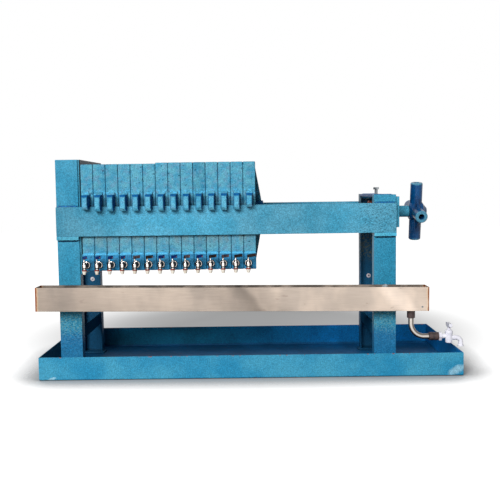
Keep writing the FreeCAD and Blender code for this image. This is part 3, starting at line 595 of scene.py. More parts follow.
@dataclass(frozen=True)
class CastEnamel(Enamel):
    """The same enamel on rough sand castings, stained below the rails."""

    joint_start: float = 0.0
    joint_pitch: float = 0.0422
    joint: Band = (0.474, 0.494)
    joint_dirt: Band = (0.52, 0.64, 0.0, 0.85)
    mauve: Colour = (98, 150, 178)
    blotches: Band = (0.5, 0.66, 0.0, 0.75)
    stain: Colour = (112, 146, 152)
    stain_top: float = 0.474
    streaks: Band = (0.34, 0.62, 0.3, 1.0)
    boss_top: float = 0.418
    lug_top: float = 0.614
    lug_face: float = 0.23
    lug_light: float = 0.3
    side_face: float = 0.184
    sideways: Band = (0.5, 0.9)
    dirt: Colour = (22, 58, 84)
    pores: Band = (0.64, 0.70, 0.0, 0.7)
    # Painted shade on the side faces of the plates.
    side_shade: Colour = (14, 62, 94)
    side_shade_share: float = 0.75
    # Painted shade on upward faces above the rails and on the lug sides.
    upward: Colour = (14, 92, 150)
    boss: Colour = (30, 126, 182)
    # Painted highlight colour: the lug roots, the upward faces below the rails and the lug ends.
    highlight_blue: Colour = (90, 190, 235)
    spots: Band = (0.46, 0.6, 0.0, 0.8)
    rougher: float = 0.06

    def _stained(self, draft: NodeDraft, colour: object) -> Socket:
        """Stain the castings under the rails, and leave their bosses bluer.

        Args:
            draft: the material in the making.
            colour: the paint so far.

        Returns:
            The stained paint.
        """
        height = draft.along(Axis.Z)
        under = draft.span(height, self.boss_top + 0.004, self.stain_top + 0.004, 0.05, 0.85)
        streaks = draft.span(draft.noise(60.0, 4.0, (1.0, 1.0, 0.2)), *self.streaks)
        below_rail = draft.under(height, self.stain_top + 0.012)
        colour = draft.mix(draft.times(draft.times(under, streaks), below_rail), colour, self.stain)
        bosses = draft.span(height, self.boss_top - 0.010, self.boss_top, 0.7, 0.0)
        return draft.mix(bosses, colour, self.boss)

    def _lug_root_highlights(self, draft: NodeDraft, colour: object) -> Socket:
        """Paint spots of highlight round the roots of the lugs.

        Args:
            draft: the material in the making.
            colour: the paint so far.

        Returns:
            The paint with those highlights.
        """
        height = draft.along(Axis.Z)
        rising = draft.span(height, self.lug_top - 0.006, self.lug_top + 0.004)
        ending = draft.span(height, self.lug_top + 0.006, self.lug_top + 0.022, 1.0, 0.0)
        spots = draft.span(draft.noise(120.0, 3.0), *self.spots)
        # Painted highlight in spots round the roots of the lugs.
        return draft.mix(draft.times(draft.times(rising, ending), spots), colour, self.highlight_blue)

    def _jointed(self, draft: NodeDraft, colour: object) -> Socket:
        """Break the paint along the joints between the plates, and darken their side faces with painted
        shade.

        Args:
            draft: the material in the making.
            colour: the paint so far.

        Returns:
            The paint with its joints.
        """
        step = draft.minus(draft.along(Axis.X), self.joint_start)
        share = draft.math("FRACT", draft.over(step, self.joint_pitch))
        joint = draft.span(draft.absolute(draft.minus(share, 0.5)), *self.joint)
        broken = draft.span(draft.noise(95.0, 3.0, (0.3, 1.0, 1.0)), *self.joint_dirt)
        sideways = draft.span(draft.absolute(draft.facing(Axis.X)), *self.sideways)
        broken = draft.times(broken, draft.minus(1.0, sideways))
        colour = draft.mix(draft.times(joint, broken), colour, self.dirt)
        # Painted shade on the side faces.
        return draft.mix(draft.times(sideways, self.side_shade_share), colour, self.side_shade)

    def _lit(self, draft: NodeDraft, colour: object) -> Socket:
        """Paint shade on upward faces above the rails and on lug sides, and paint highlight on upward faces
        below the rails and on lug ends.

        Args:
            draft: the material in the making.
            colour: the paint so far.

        Returns:
            The paint with those faces.
        """
        height = draft.along(Axis.Z)
        # Painted shade on upward faces above the rails and on lug sides, painted highlight below the rails
        # and on lug ends.
        top = draft.mix(draft.above(height, self.stain_top), self.highlight_blue, self.upward)
        low, high = self.lug_top + 0.0008, self.lug_top + 0.02
        root = draft.times(draft.above(height, low), draft.under(height, high))
        flat = draft.times(draft.span(draft.facing(Axis.Z), 0.12, 0.5), draft.minus(1.0, root))
        colour = draft.mix(flat, colour, top)
        deep = draft.absolute(draft.along(Axis.Y))
        turned = draft.span(draft.absolute(draft.facing(Axis.X)), 0.35, 0.8)
        colour = draft.mix(draft.times(turned, draft.above(deep, self.side_face)), colour, self.upward)
        ends = draft.span(deep, self.lug_face - 0.0006, self.lug_face, 0.0, self.lug_light)
        return draft.mix(ends, colour, self.highlight_blue)

    def paint(self, draft: NodeDraft) -> None:
        """Lay out blotchy paint on a pitted skin, dirty at the joints between plates, with painted shade and
        highlights.

        Args:
            draft: the material in the making.
        """
        blotches = draft.span(draft.noise(62.0, 5.0), *self.blotches)
        colour = draft.mix(blotches, self.ground(draft), self.mauve)
        colour = self._lug_root_highlights(draft, self._stained(draft, colour))
        colour = self._jointed(draft, colour)
        colour = draft.mix(draft.span(draft.noise(150.0, 3.0), *self.pores), colour, self.dirt)
        colour = self._lit(draft, colour)
        pits = draft.bump(draft.noise(115.0, 5.0), self.ripple_depth * 6.5)
        skin = draft.bump(draft.noise(300.0, 2.0), self.peel_depth * 1.6, pits)
        colour = self.paint_corner_shade(draft, self.grain(draft, colour))
        draft.surface(colour, self.roughness + self.rougher, skin, Specular_IOR_Level=self.specular)


@dataclass(frozen=True)
class Scuff:
    """A scraped patch of paint: its middle and its half width and height."""

    across: float
    height: float
    half_width: float
    half_height: float


@dataclass(frozen=True)
class TrayEnamel(Enamel):
    """Enamel on the drip tray: darker inside with painted shade, chipped on its rim and scuffed."""

    # Painted shade inside the tray: darker walls, and a darker floor.
    inside: Colour = (12, 108, 172)
    inside_left: Colour = (14, 100, 134)
    floor: Colour = (20, 86, 132)
    floor_fade: Band = (0.006, 0.014)
    primer: Colour = (150, 84, 66)
    chips: Band = (0.63, 0.66, 0.0, 0.9)
    scraped: Colour = (150, 196, 214)
    scrape: Band = (0.7, 1.7, 0.8, 0.0)
    scrape_lean: float = 0.8
    rim: float = 0.078
    half_length: float = 0.706
    half_depth: float = 0.27
    wall: float = 0.0016
    base: float = 0.0012
    scuffs: tuple[Scuff, ...] = (Scuff(0.684, 0.020, 0.034, 0.018), Scuff(-0.664, 0.006, 0.018, 0.005))

    def _inner(self, draft: NodeDraft) -> Socket:
        """Find the tray's inner faces.

        Args:
            draft: the material in the making.

        Returns:
            1 on the inner faces and 0 outside.
        """
        across = draft.under(draft.absolute(draft.along(Axis.X)), self.half_length - self.wall)
        deep = draft.under(draft.absolute(draft.along(Axis.Y)), self.half_depth - self.wall)
        return draft.times(draft.times(across, deep), draft.above(draft.along(Axis.Z), self.base))

    def _scuffed(self, draft: NodeDraft, colour: object) -> Socket:
        """Scrape the scuffs into the front of the tray.

        Args:
            draft: the material in the making.
            colour: the paint so far.

        Returns:
            The scuffed paint.
        """
        height = draft.along(Axis.Z)
        front = draft.under(draft.along(Axis.Y), self.wall - self.half_depth)
        for scuff in self.scuffs:
            side = draft.over(draft.minus(draft.along(Axis.X), scuff.across), scuff.half_width)
            rise = draft.over(draft.minus(height, scuff.height), scuff.half_height)
            lean = draft.minus(rise, draft.times(side, self.scrape_lean))
            away = draft.plus(draft.math("POWER", side, 2.0), draft.math("POWER", lean, 2.0))
            ragged = draft.plus(away, draft.times(draft.noise(60.0, 4.0), 1.2))
            colour = draft.mix(draft.times(draft.span(ragged, *self.scrape), front), colour, self.scraped)
        return colour

    def paint(self, draft: NodeDraft) -> None:
        """Lay out the outer colour, the painted shade inside, the chips and the scuffs.

        Args:
            draft: the material in the making.
        """
        outer = self._scuffed(draft, self.ground(draft))
        height = draft.along(Axis.Z)
        across = draft.along(Axis.X)
        # Painted shade inside: darker wall and floor colours, brighter and bluer to the right.
        wall = draft.mix(draft.span(across, -0.3, 0.45), self.inside_left, self.inside)
        inner = draft.mix(draft.span(height, *self.floor_fade), self.floor, wall)
        sheen = draft.span(draft.noise(7.0, 2.0), 0.35, 0.65, 0.8, 1.2)
        bluer = draft.span(across, -0.3, 0.6, 0.85, 1.35)
        inner = draft.shade(inner, draft.times(sheen, bluer))
        colour = self.grain(draft, draft.mix(self._inner(draft), outer, inner))
        edge = draft.span(height, self.rim - 0.004, self.rim - 0.001)
        bend = draft.span(height, 0.001, 0.003, 1.0, 0.0)
        chips = draft.span(draft.noise(65.0, 3.0), *self.chips)
        colour = draft.mix(draft.times(draft.math("MAXIMUM", edge, bend), chips), colour, self.primer)
        colour = self.paint_corner_shade(draft, colour)
        draft.surface(colour, self.roughness, self.peel(draft), Specular_IOR_Level=self.specular)


@dataclass(frozen=True)
class BrushedSheet(Finish):
    """Brushed stainless sheet with painted reflections along its length, tinted at its end welds."""

    bright: Colour = (212, 194, 178)
    dull: Colour = (190, 175, 162)
    bands: Band = (0.36, 0.66)
    tint: Colour = (120, 58, 22)
    tint_reach: Band = (0.0062, 0.0088, 0.95, 0.0)
    straw: Colour = (238, 190, 128)
    straw_reach: Band = (0.004, 0.016, 0.35, 0.0)
    scratched: Colour = (120, 104, 94)
    scratches: Band = (0.66, 0.72, 0.0, 0.3)
    left: float = -0.714
    right: float = 0.595
    back: float = -0.2
    back_reflections: Band = (0.4, 0.62, 0.32, 0.8)
    lengthwise: Band = (0.5, 0.9, 1.0, 0.12)
    lean: float = 0.85
    lean_height: float = 0.265
    lines: Band = (0.3, 0.7)
    # Brightness along the sheet: painted reflections and a painted highlight by the drain.
    course: Stops = (
        (-0.72, 0.42), (-0.56, 0.46), (-0.42, 0.58), (-0.20, 0.61), (-0.06, 0.50), (0.0, 0.34), (0.03, 0.54),
        (0.14, 0.78), (0.30, 0.80), (0.43, 0.90), (0.475, 1.32), (0.505, 1.24), (0.54, 0.98), (0.60, 0.78),
    )

    def _painted_reflections(self, draft: NodeDraft, colour: object) -> Socket:
        """Paint reflections on the sheet: shade it by its course, which leans with the height.

        Args:
            draft: the material in the making.
            colour: the sheet so far.

        Returns:
            The sheet with its painted reflections.
        """
        leaning = draft.plus(draft.along(Axis.X), draft.times(draft.along(Axis.Z), self.lean))
        placed = draft.minus(leaning, self.lean * self.lean_height)
        wavy = draft.plus(placed, draft.times(draft.noise(13.0, 2.0), 0.04))
        return draft.shade(colour, draft.course(draft.minus(wavy, 0.02), self.course))

    def _tinted(self, draft: NodeDraft, colour: object) -> Socket:
        """Tint the sheet by the heat of its end welds.

        Args:
            draft: the material in the making.
            colour: the sheet so far.

        Returns:
            The tinted sheet.
        """
        across = draft.along(Axis.X)
        lengthwise = draft.span(draft.absolute(draft.facing(Axis.X)), *self.lengthwise)
        for end, sign in ((self.left, 1.0), (self.right, -1.0)):
            away = draft.times(draft.minus(across, end), sign)
            ragged = draft.plus(away, draft.times(draft.noise(40.0, 3.0), 0.006))
            straw = draft.times(draft.span(ragged, *self.straw_reach), lengthwise)
            brown = draft.times(draft.span(ragged, *self.tint_reach), lengthwise)
            colour = draft.mix(brown, draft.mix(straw, colour, self.straw), self.tint)
        return colour

    def paint(self, draft: NodeDraft) -> None:
        """Lay out the cloudy bands with their painted reflections, the fine brush lines and the heat tint.

        Args:
            draft: the material in the making.
        """
        bands = draft.span(draft.noise(11.0, 3.0, (1.0, 1.0, 0.5)), *self.bands)
        colour = self._painted_reflections(draft, draft.mix(bands, self.dull, self.bright))
        lines = draft.noise(900.0, 2.0, (0.02, 0.6, 1.0))
        colour = draft.shade(colour, draft.span(lines, *self.lines, 0.95, 1.05))
        scratches = draft.span(draft.noise(26.0, 5.0, (1.0, 1.0, 2.2)), *self.scratches)
        colour = draft.mix(scratches, colour, self.scratched)
        # Painted dark reflections on the back of the trough.
        back = draft.above(draft.along(Axis.Y), self.back)
        back_reflections = draft.span(draft.noise(30.0, 3.0, (0.6, 1.0, 1.0)), *self.back_reflections)
        colour = self._tinted(draft, draft.shade(colour, draft.mix_number(back, 1.0, back_reflections)))
        normal = draft.bump(lines, 0.00004, draft.bump(draft.noise(9.0, 2.0), 0.0012))
        draft.surface(colour, draft.span(lines, *self.lines, 0.34, 0.46), normal, Metallic=0.75)


@dataclass(frozen=True)
class Metal(Finish):
    """Plain metal with faint clouds and tool marks."""

    bright: Colour = (205, 205, 202)
    dull: Colour = (150, 150, 148)
    clouds: Band = (0.36, 0.66)
    roughness: float = 0.25
    mark_depth: float = 0.0001
    metallic: float = 0.6

    def paint(self, draft: NodeDraft) -> None:
        """Lay out tarnish clouds over a finely marked metal.

        Args:
            draft: the material in the making.
        """
        clouds = draft.span(draft.noise(75.0, 4.0), *self.clouds)
        colour = draft.mix(clouds, self.dull, self.bright)
        marks = draft.noise(420.0, 2.0)
        rough = draft.span(marks, 0.3, 0.7, self.roughness * 0.8, self.roughness * 1.3)
        draft.surface(colour, rough, draft.bump(marks, self.mark_depth), Metallic=self.metallic)


@dataclass(frozen=True)
class Plating(Finish):
    """Bright plating whose base colour darkens with the angle it is seen at, with painted shade in its
    corners.

    The smoke is painted into the base colour through Layer Weight. It isn't gloss
    from the shader and the lights, so it moves with the view, and an exported
    model doesn't hold it.
    """

    bright: Colour = (244, 238, 232)
    smoky: Colour = (46, 36, 36)
    smoke: Band = (0.02, 0.16, 0.0, 0.97)
    corner_shade: Colour = (30, 24, 24)
    corner_shade_reach: float = 0.006
    corner_shade_open: Band = (0.45, 0.9, 0.85, 0.0)
    roughness: float = 0.18
    skin_depth: float = 0.00005
    metallic: float = 0.9

    def paint(self, draft: NodeDraft) -> None:
        """Lay out bright metal, painted smoky where it curves away from the eye.

        Args:
            draft: the material in the making.
        """
        turned = draft.add("ShaderNodeLayerWeight")
        turned.inputs["Blend"].default_value = 0.5
        smoke = draft.span(turned.outputs["Facing"], *self.smoke)
        colour = draft.mix(smoke, self.bright, self.smoky)
        # Painted shade in the corners.
        shut = draft.span(draft.openness(self.corner_shade_reach), *self.corner_shade_open)
        colour = draft.mix(shut, colour, self.corner_shade)
        skin = draft.bump(draft.noise(500.0, 1.0), self.skin_depth)
        draft.surface(colour, self.roughness, skin, Metallic=self.metallic)


@dataclass(frozen=True)
class Moulded(Finish):
    """Moulded plastic or rubber, faintly uneven."""

    bright: Colour = (244, 243, 252)
    dull: Colour = (226, 225, 238)
    clouds: Band = (0.35, 0.65)
    roughness: float = 0.3
    skin_depth: float = 0.0001
    specular: float = 0.45

    def paint(self, draft: NodeDraft) -> None:
        """Lay out a slightly clouded moulding with a fine skin.

        Args:
            draft: the material in the making.
        """
        colour = draft.mix(draft.span(draft.noise(60.0, 3.0), *self.clouds), self.dull, self.bright)
        skin = draft.bump(draft.noise(500.0, 2.0), self.skin_depth)
        draft.surface(colour, self.roughness, skin, Specular_IOR_Level=self.specular)


@dataclass(frozen=True)
class RubbedHighlitEnamel(Enamel):
    """Enamel on the capstan, paler round the ends of its arms, where hands wear the paint and a highlight is
    painted.
    """

    axis_height: float = 0.54
    reach: float = 0.1
    wear_and_highlight: Colour = (84, 152, 178)
    wear_and_highlight_share: float = 0.8

    def ground(self, draft: NodeDraft) -> Socket:
        """Lay out the paint with its paler arm ends, for wear and a painted highlight.

        Args:
            draft: the material in the making.

        Returns:
            The colour.
        """
        rise = draft.minus(draft.along(Axis.Z), self.axis_height)
        squares = draft.plus(draft.math("POWER", rise, 2.0), draft.math("POWER", draft.along(Axis.Y), 2.0))
        away = draft.math("SQRT", squares)
        # Paler arm ends: wear and a painted highlight.
        worn = draft.span(away, self.reach - 0.0006, self.reach + 0.0012, 0.0, self.wear_and_highlight_share)
        return draft.mix(worn, super().ground(draft), self.wear_and_highlight)


# Painted sheen along X on the rails, the seats, the thrust plate and the screw's neck.
RAIL_SHEEN_COURSE = (
    (-0.66, 0.72), (-0.52, 0.84), (-0.36, 1.10), (-0.14, 1.12), (0.02, 0.88), (0.2, 0.86), (0.34, 1.0),
    (0.5, 0.94),
)
# Painted shade over the fixed head, but for a narrow band along X.
HEAD_SHADE_COURSE = ((-0.66, 0.13), (-0.5762, 0.13), (-0.5752, 0.9), (-0.5722, 0.9), (-0.5712, 0.1), (-0.56, 0.1))
FRAME_ENAMEL = Enamel("frame_enamel", Slot.FRAME, course=RAIL_SHEEN_COURSE)
# Beads in a deeper blue than the frame: painted shade along the joints.
WELD_SHADE_ENAMEL = Enamel(
    "weld_shade_enamel", Slot.FRAME, deep=(8, 84, 142), pale=(24, 116, 176), cloud_scale=120.0, roughness=0.3,
    specular=0.15,
)
# Near-black blue for the line under the rail seats: a painted shadow.
SEAT_SHADOW_ENAMEL = Enamel("seat_shadow_enamel", Slot.FRAME, deep=(4, 34, 66), pale=(8, 44, 80), cloud_scale=60.0)
# Painted shade in the dips of the hammered cells at the rails' right end.
RAIL_ENAMEL = Enamel(
    "rail_enamel", Slot.FRAME, deep=(64, 150, 182), pale=(90, 164, 192), course=RAIL_SHEEN_COURSE, runs_top=0.02,
    hammer_start=0.33,
)
# Painted shade on the posts' inner faces, and a painted highlight on the crests of their hammered cells.
POST_ENAMEL = Enamel(
    "post_enamel", Slot.FRAME, deep=(44, 134, 168), pale=(62, 146, 178), runs_top=0.24,
    crest_highlight_colour=(142, 172, 146), inner_depth=0.12, grit_bottom=0.33,
)
HEAD_ENAMEL = Enamel("head_enamel", Slot.FRAME, course=HEAD_SHADE_COURSE, corner_level=0.7)
# A darker, matt copy of the frame's enamel for the ties: painted shade.
TIE_SHADE_ENAMEL = Enamel(
    "tie_shade_enamel", Slot.FRAME, deep=(22, 78, 112), pale=(34, 92, 124), roughness=0.6, specular=0.0
)
# A paler copy of the frame's enamel for the rail seats: painted highlight.
SEAT_HIGHLIGHT_ENAMEL = Enamel("seat_highlight_enamel", Slot.FRAME, deep=(70, 170, 206), pale=(96, 188, 216), course=RAIL_SHEEN_COURSE)
# Deep painted shade in the crosshead's corners and recesses, and painted shade on its inner faces.
CROSSHEAD_ENAMEL = Enamel(
    "crosshead_enamel", Slot.FRAME, corner_reach=0.06, corner_level=0.06, hammer_start=0.33, runs_top=0.02,
    inner_depth=-0.184, inner=(22, 64, 124),
)
CAST_ENAMEL = CastEnamel(
    "cast_enamel", Slot.CAST, deep=(66, 148, 181), pale=(94, 168, 190), cloud_scale=40.0, specular=0.08,
    corner_level=0.6,
)
CAPSTAN_ENAMEL = RubbedHighlitEnamel(
    "capstan_enamel", Slot.CAST, deep=(2, 52, 96), pale=(8, 78, 132), cloud_scale=18.0, roughness=0.28,
    specular=0.25,
)
TRAY_ENAMEL = TrayEnamel("tray_enamel", Slot.TRAY, deep=(42, 136, 176), pale=(68, 154, 186))
TROUGH_SHEET = BrushedSheet("trough_sheet", Slot.STAINLESS)
# Its rims darken with the angle they are seen at, and its corners have painted shade.
PIPE_STEEL = Plating(
    "pipe_steel", Slot.STAINLESS, bright=(202, 195, 188), smoky=(104, 98, 92), corner_shade=(90, 84, 80),
    roughness=0.24,
)
SCREW_STEEL = Metal("oiled_steel", Slot.SCREW, bright=(120, 118, 114), dull=(70, 68, 66), roughness=0.32)
NUT_METAL = Metal(
    "nut_primer", Slot.BRONZE, bright=(150, 74, 48), dull=(92, 44, 32), roughness=0.6, metallic=0.1
)
ZINC = Metal(
    "bright_zinc", Slot.ZINC, bright=(176, 182, 184), dull=(104, 110, 114), roughness=0.4, metallic=0.5
)
SOCKET_IRON = Metal(
    "socket_iron", Slot.FITTING, bright=(70, 52, 50), dull=(42, 32, 32), roughness=0.6, mark_depth=0.0005,
    metallic=0.1,
)
CHROME = Plating("cock_chrome", Slot.CHROME)
# A dark copy of the chrome for the cocks' flange step and neck: painted shade.
DARK_CHROME = Metal("cock_shade", Slot.CHROME, bright=(70, 62, 62), dull=(22, 20, 24), roughness=0.18)
COPPER_TIP = Metal("lever_tip", Slot.CHROME, bright=(196, 146, 124), dull=(140, 92, 74), roughness=0.3)
RING_RUBBER = Moulded("cock_ring", Slot.CHROME, bright=(150, 44, 30), dull=(104, 30, 24), roughness=0.5)
NOZZLE_PLASTIC = Moulded("cock_nozzle", Slot.CHROME, bright=(244, 236, 222), dull=(222, 210, 192))
LEVER_BLACK = Moulded(
    "lever_black_grip", Slot.LEVER, bright=(26, 16, 16), dull=(10, 6, 8), roughness=0.55, specular=0.12
)
LEVER_NAVY = Moulded(
    "lever_navy_grip", Slot.LEVER, bright=(10, 44, 110), dull=(6, 24, 72), roughness=0.55, specular=0.12
)
LEVER_WORN = Metal("lever_worn_grip", Slot.LEVER, bright=(84, 70, 72), dull=(16, 18, 40), roughness=0.5)
TAP_PLASTIC = Moulded("tap_plastic", Slot.PLASTIC)
WASHER_PLASTIC = Moulded("washer_plastic", Slot.ZINC, bright=(236, 228, 232), dull=(214, 204, 210))


# --- meshes --------------------------------------------------------------------


SHARP = math.radians(32.0)
FLAT = math.radians(0.6)
MERGE = 1e-6
SLIVER = 0.00001
AXES = {
    Axis.X: (Vector((1, 0, 0)), Vector((0, 1, 0)), Vector((0, 0, 1))),
    Axis.Y: (Vector((0, 1, 0)), Vector((0, 0, 1)), Vector((1, 0, 0))),
    Axis.Z: (Vector((0, 0, 1)), Vector((1, 0, 0)), Vector((0, 1, 0))),
}


@dataclass(frozen=True)
class BeadShape:
    """How a hand-laid bead swells: its steps, its scales, its tapered ends and its unevenness."""

    step: float = 0.0016
    scale: float = 0.0042
    lowest: float = 0.86
    swell: float = 0.2
    tip: float = 0.35
    taper: float = 8.0
    uneven: tuple[float, float] = (0.95, 1.05)


@dataclass(frozen=True)
class ThreadShape:
    """A trapezoidal thread: where its crest lies in each pitch, and how long its ends run out."""

    crest_start: float = 0.16
    crest_end: float = 0.48
    flank_end: float = 0.64
    run_out: float = 0.6


BEAD = BeadShape()
THREAD = ThreadShape()
HEAD_RISES = ((0.0, 0.95), (0.08, 1.0), (0.80, 1.0), (1.0, 0.88))


def spokes(first: Vector, second: Vector, sides: int) -> list[Vector]:
    """List the unit spokes of a wheel.

    Args:
        first: where the first spoke points.
        second: where the spoke a quarter turn on points.
        sides: how many spokes there are.

    Returns:
        The spokes, in order.
    """
    angles = [2 * math.pi * step / sides for step in range(sides)]
    return [first * math.cos(angle) + second * math.sin(angle) for angle in angles]


@dataclass
class Piece:
    """A mesh in the making, with its finishes, that ends as one object."""

    name: str
    body: str
    finishes: list[Finish]
    mesh: bmesh.types.BMesh = field(default_factory=bmesh.new)

    def turned(
        self, profile: Sequence[tuple[float, float]], centre: Vector, axis: Axis, sides: int = 32,
        finish: int = 0,
    ) -> None:
        """Add a closed turned form.

        Args:
            profile: (distance along the axis, radius) from one end to the other.
            centre: where the axis's zero lies.
            axis: the axis that the profile is turned about.
            sides: faces round the form.
            finish: index of the finish.
        """
        along, first, second = AXES[axis]
        wheel = spokes(first, second, sides)
        rings = []
        for distance, radius in profile:
            rings.append([self.mesh.verts.new(centre + along * distance + spoke * radius) for spoke in wheel])
        self._skin(rings, finish)

    def _skin(self, rings: list[list[bmesh.types.BMVert]], finish: int) -> None:
        """Join rings of equal length into a closed tube with flat ends.

        Args:
            rings: the rings, from one end to the other.
            finish: index of the finish.
        """
        count = len(rings[0])
        faces = []
        for ring, after in zip(rings, rings[1:]):
            for step in range(count):
                beside = (step + 1) % count
                faces.append((ring[step], ring[beside], after[beside], after[step]))
        self._cover(faces + [rings[0][::-1], rings[-1]], finish)

    def _cover(self, faces: Iterable[Sequence[bmesh.types.BMVert]], finish: int) -> None:
        """Add faces in one finish.

        Args:
            faces: the corners of each face, in order.
            finish: index of the finish.
        """
        for corners in faces:
            face = self.mesh.faces.new(corners)
            face.material_index = finish

    def tube(self, path: Sequence[Vector], radii: Sequence[float], sides: int = 10, finish: int = 0) -> None:
        """Add a closed round tube along a path.

        Args:
            path: points of the centre line.
            radii: radius at each point.
            sides: faces round the tube.
            finish: index of the finish.
        """
        rings = []
        side = None
        for index, point in enumerate(path):
            before = path[max(index - 1, 0)]
            after = path[min(index + 1, len(path) - 1)]
            ahead = (after - before).normalized()
            if side is None:
                side = ahead.orthogonal().normalized()
            side = (side - ahead * side.dot(ahead)).normalized()
            wheel = spokes(side, ahead.cross(side), sides)
            rings.append([self.mesh.verts.new(point + spoke * radii[index]) for spoke in wheel])
        self._skin(rings, finish)

    def prism(self, corners: Sequence[Vector], rise: Vector, bevel: float = 0.0, finish: int = 0) -> None:
        """Add a block with the given outline, its edges broken if asked.

        Args:
            corners: the outline's corners, in order.
            rise: from the outline to the block's other end.
            bevel: width of the broken edges.
            finish: index of the finish.
        """
        low = [self.mesh.verts.new(corner) for corner in corners]
        high = [self.mesh.verts.new(corner + rise) for corner in corners]
        before = set(self.mesh.edges)
        self._skin([low, high], finish)
        if bevel > 0.0:
            self._bevel([edge for edge in self.mesh.edges if edge not in before], bevel, 2)

    def _bevel(self, edges: list[bmesh.types.BMEdge], width: float, segments: int) -> None:
        """Break edges by a rounded bevel.

        Args:
            edges: the edges.
            width: width of the broken edge.
            segments: faces across it.
        """
        bmesh.ops.bevel(
            self.mesh, geom=edges, offset=width, segments=segments, profile=0.5, affect="EDGES",
            clamp_overlap=True,
        )

    def weld(self, start: Vector, end: Vector, radius: float, seed: int, finish: int = 0) -> None:
        """Add a hand-laid weld bead with its scales.

        Args:
            start: where the bead begins.
            end: where it ends.
            radius: half of its width.
            seed: number that fixes its unevenness.
            finish: index of the finish.
        """
        draw = random.Random(seed)
        run = end - start
        steps = max(8, int(run.length / BEAD.step))
        path = []
        radii = []
        for step in range(steps + 1):
            share = step / steps
            scale = (share * run.length / BEAD.scale) % 1.0
            swell = BEAD.lowest + BEAD.swell * math.sqrt(max(0.0, 1.0 - scale))
            taper = min(1.0, BEAD.tip + BEAD.taper * min(share, 1.0 - share))
            path.append(start + run * share)
            radii.append(radius * swell * taper * draw.uniform(*BEAD.uneven))
        self.tube(path, radii, 8, finish)

    def hexagon_head(self, base: Vector, up: Vector, flats: float, height: float, finish: int = 0) -> None:
        """Add a bolt head with chamfered corners.

        Args:
            base: middle of its seat.
            up: direction of the bolt's axis, out of the seat.
            flats: width across the flats.
            height: height of the head.
            finish: index of the finish.
        """
        across = up.orthogonal().normalized()
        other = up.cross(across)
        corner = flats / math.sqrt(3.0)
        sides = 24
        rings = []
        for rise, kept in HEAD_RISES:
            ring = []
            for step in range(sides):
                angle = 2 * math.pi * step / sides
                flat_angle = (angle + math.pi / 6) % (math.pi / 3) - math.pi / 6
                reach = corner * math.cos(math.pi / 6) / math.cos(flat_angle)
                reach = min(reach, corner * kept) if kept < 1.0 else reach
                spoke = across * math.cos(angle) + other * math.sin(angle)
                ring.append(self.mesh.verts.new(base + up * (height * rise) + spoke * reach))
            rings.append(ring)
        self._skin(rings, finish)

    def thread(
        self, start: Vector, axis: Vector, length: float, outer: float, root: float, pitch: float,
        sides: int = 32, finish: int = 0,
    ) -> None:
        """Add a right-hand trapezoidal thread as one closed helical skin.

        Args:
            start: middle of its first end.
            axis: direction of the screw.
            length: length of thread.
            outer: crest radius.
            root: root radius.
            pitch: advance per turn.
            sides: steps per turn.
            finish: index of the finish.
        """
        first = axis.orthogonal().normalized()
        second = axis.cross(first)
        shape = (
            (0.0, root), (THREAD.crest_start, outer), (THREAD.crest_end, outer), (THREAD.flank_end, root)
        )
        steps = (int(length / pitch) - 1) * sides
        ending = THREAD.run_out * sides
        columns = []
        for step in range(steps + 1):
            angle = 2 * math.pi * step / sides
            spoke = first * math.cos(angle) + second * math.sin(angle)
            run = pitch * step / sides
            ease = min(1.0, step / ending, (steps - step) / ending)
            column = []
            for share, radius in shape:
                here = root + (radius - root) * max(0.0, ease)
                column.append(self.mesh.verts.new(start + axis * (run + share * pitch) + spoke * here))
            columns.append(column)
        faces = []
        for step, column in enumerate(columns[:-1]):
            after = columns[step + 1]
            for index in range(3):
                faces.append((column[index], after[index], after[index + 1], column[index + 1]))
            if step + sides + 1 < len(columns):
                faces.append((column[3], after[3], columns[step + sides + 1][0], columns[step + sides][0]))
        self._cover(faces, finish)
        own = {vert for column in columns for vert in column}
        loose = [edge for edge in self.mesh.edges if len(edge.link_faces) == 1 and edge.verts[0] in own]
        bmesh.ops.holes_fill(self.mesh, edges=loose, sides=0)

    def solid(self, node: str, finish: int = 0) -> None:
        """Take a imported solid's own form into the piece, with its flat faces whole.

        Args:
            node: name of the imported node.
            finish: index of the finish.
        """
        source = bmesh.new()
        source.from_mesh(frame["nodes"][node].data)
        bmesh.ops.remove_doubles(source, verts=source.verts, dist=MERGE)
        bmesh.ops.dissolve_limit(
            source, angle_limit=FLAT, verts=source.verts, edges=source.edges, delimit=set()
        )
        for face in source.faces:
            face.material_index = finish
        copy = bpy.data.meshes.new(node + "_form")
        source.to_mesh(copy)
        source.free()
        self.mesh.from_mesh(copy)
        bpy.data.meshes.remove(copy)

    def ease(
        self, width: float, segments: int = 2,
        chosen: Callable[[bmesh.types.BMEdge], bool] = lambda edge: True,
    ) -> None:
        """Break the piece's sharp edges.

        Args:
            width: width of the broken edge.
            segments: faces across it.
            chosen: tells which of the sharp edges to take.
        """
        self.mesh.normal_update()
        sharp = [
            edge for edge in self.mesh.edges
            if len(edge.link_faces) == 2 and edge.calc_face_angle(0.0) > SHARP and chosen(edge)
        ]
        self._bevel(sharp, width, segments)
        bmesh.ops.dissolve_degenerate(self.mesh, edges=self.mesh.edges, dist=SLIVER)

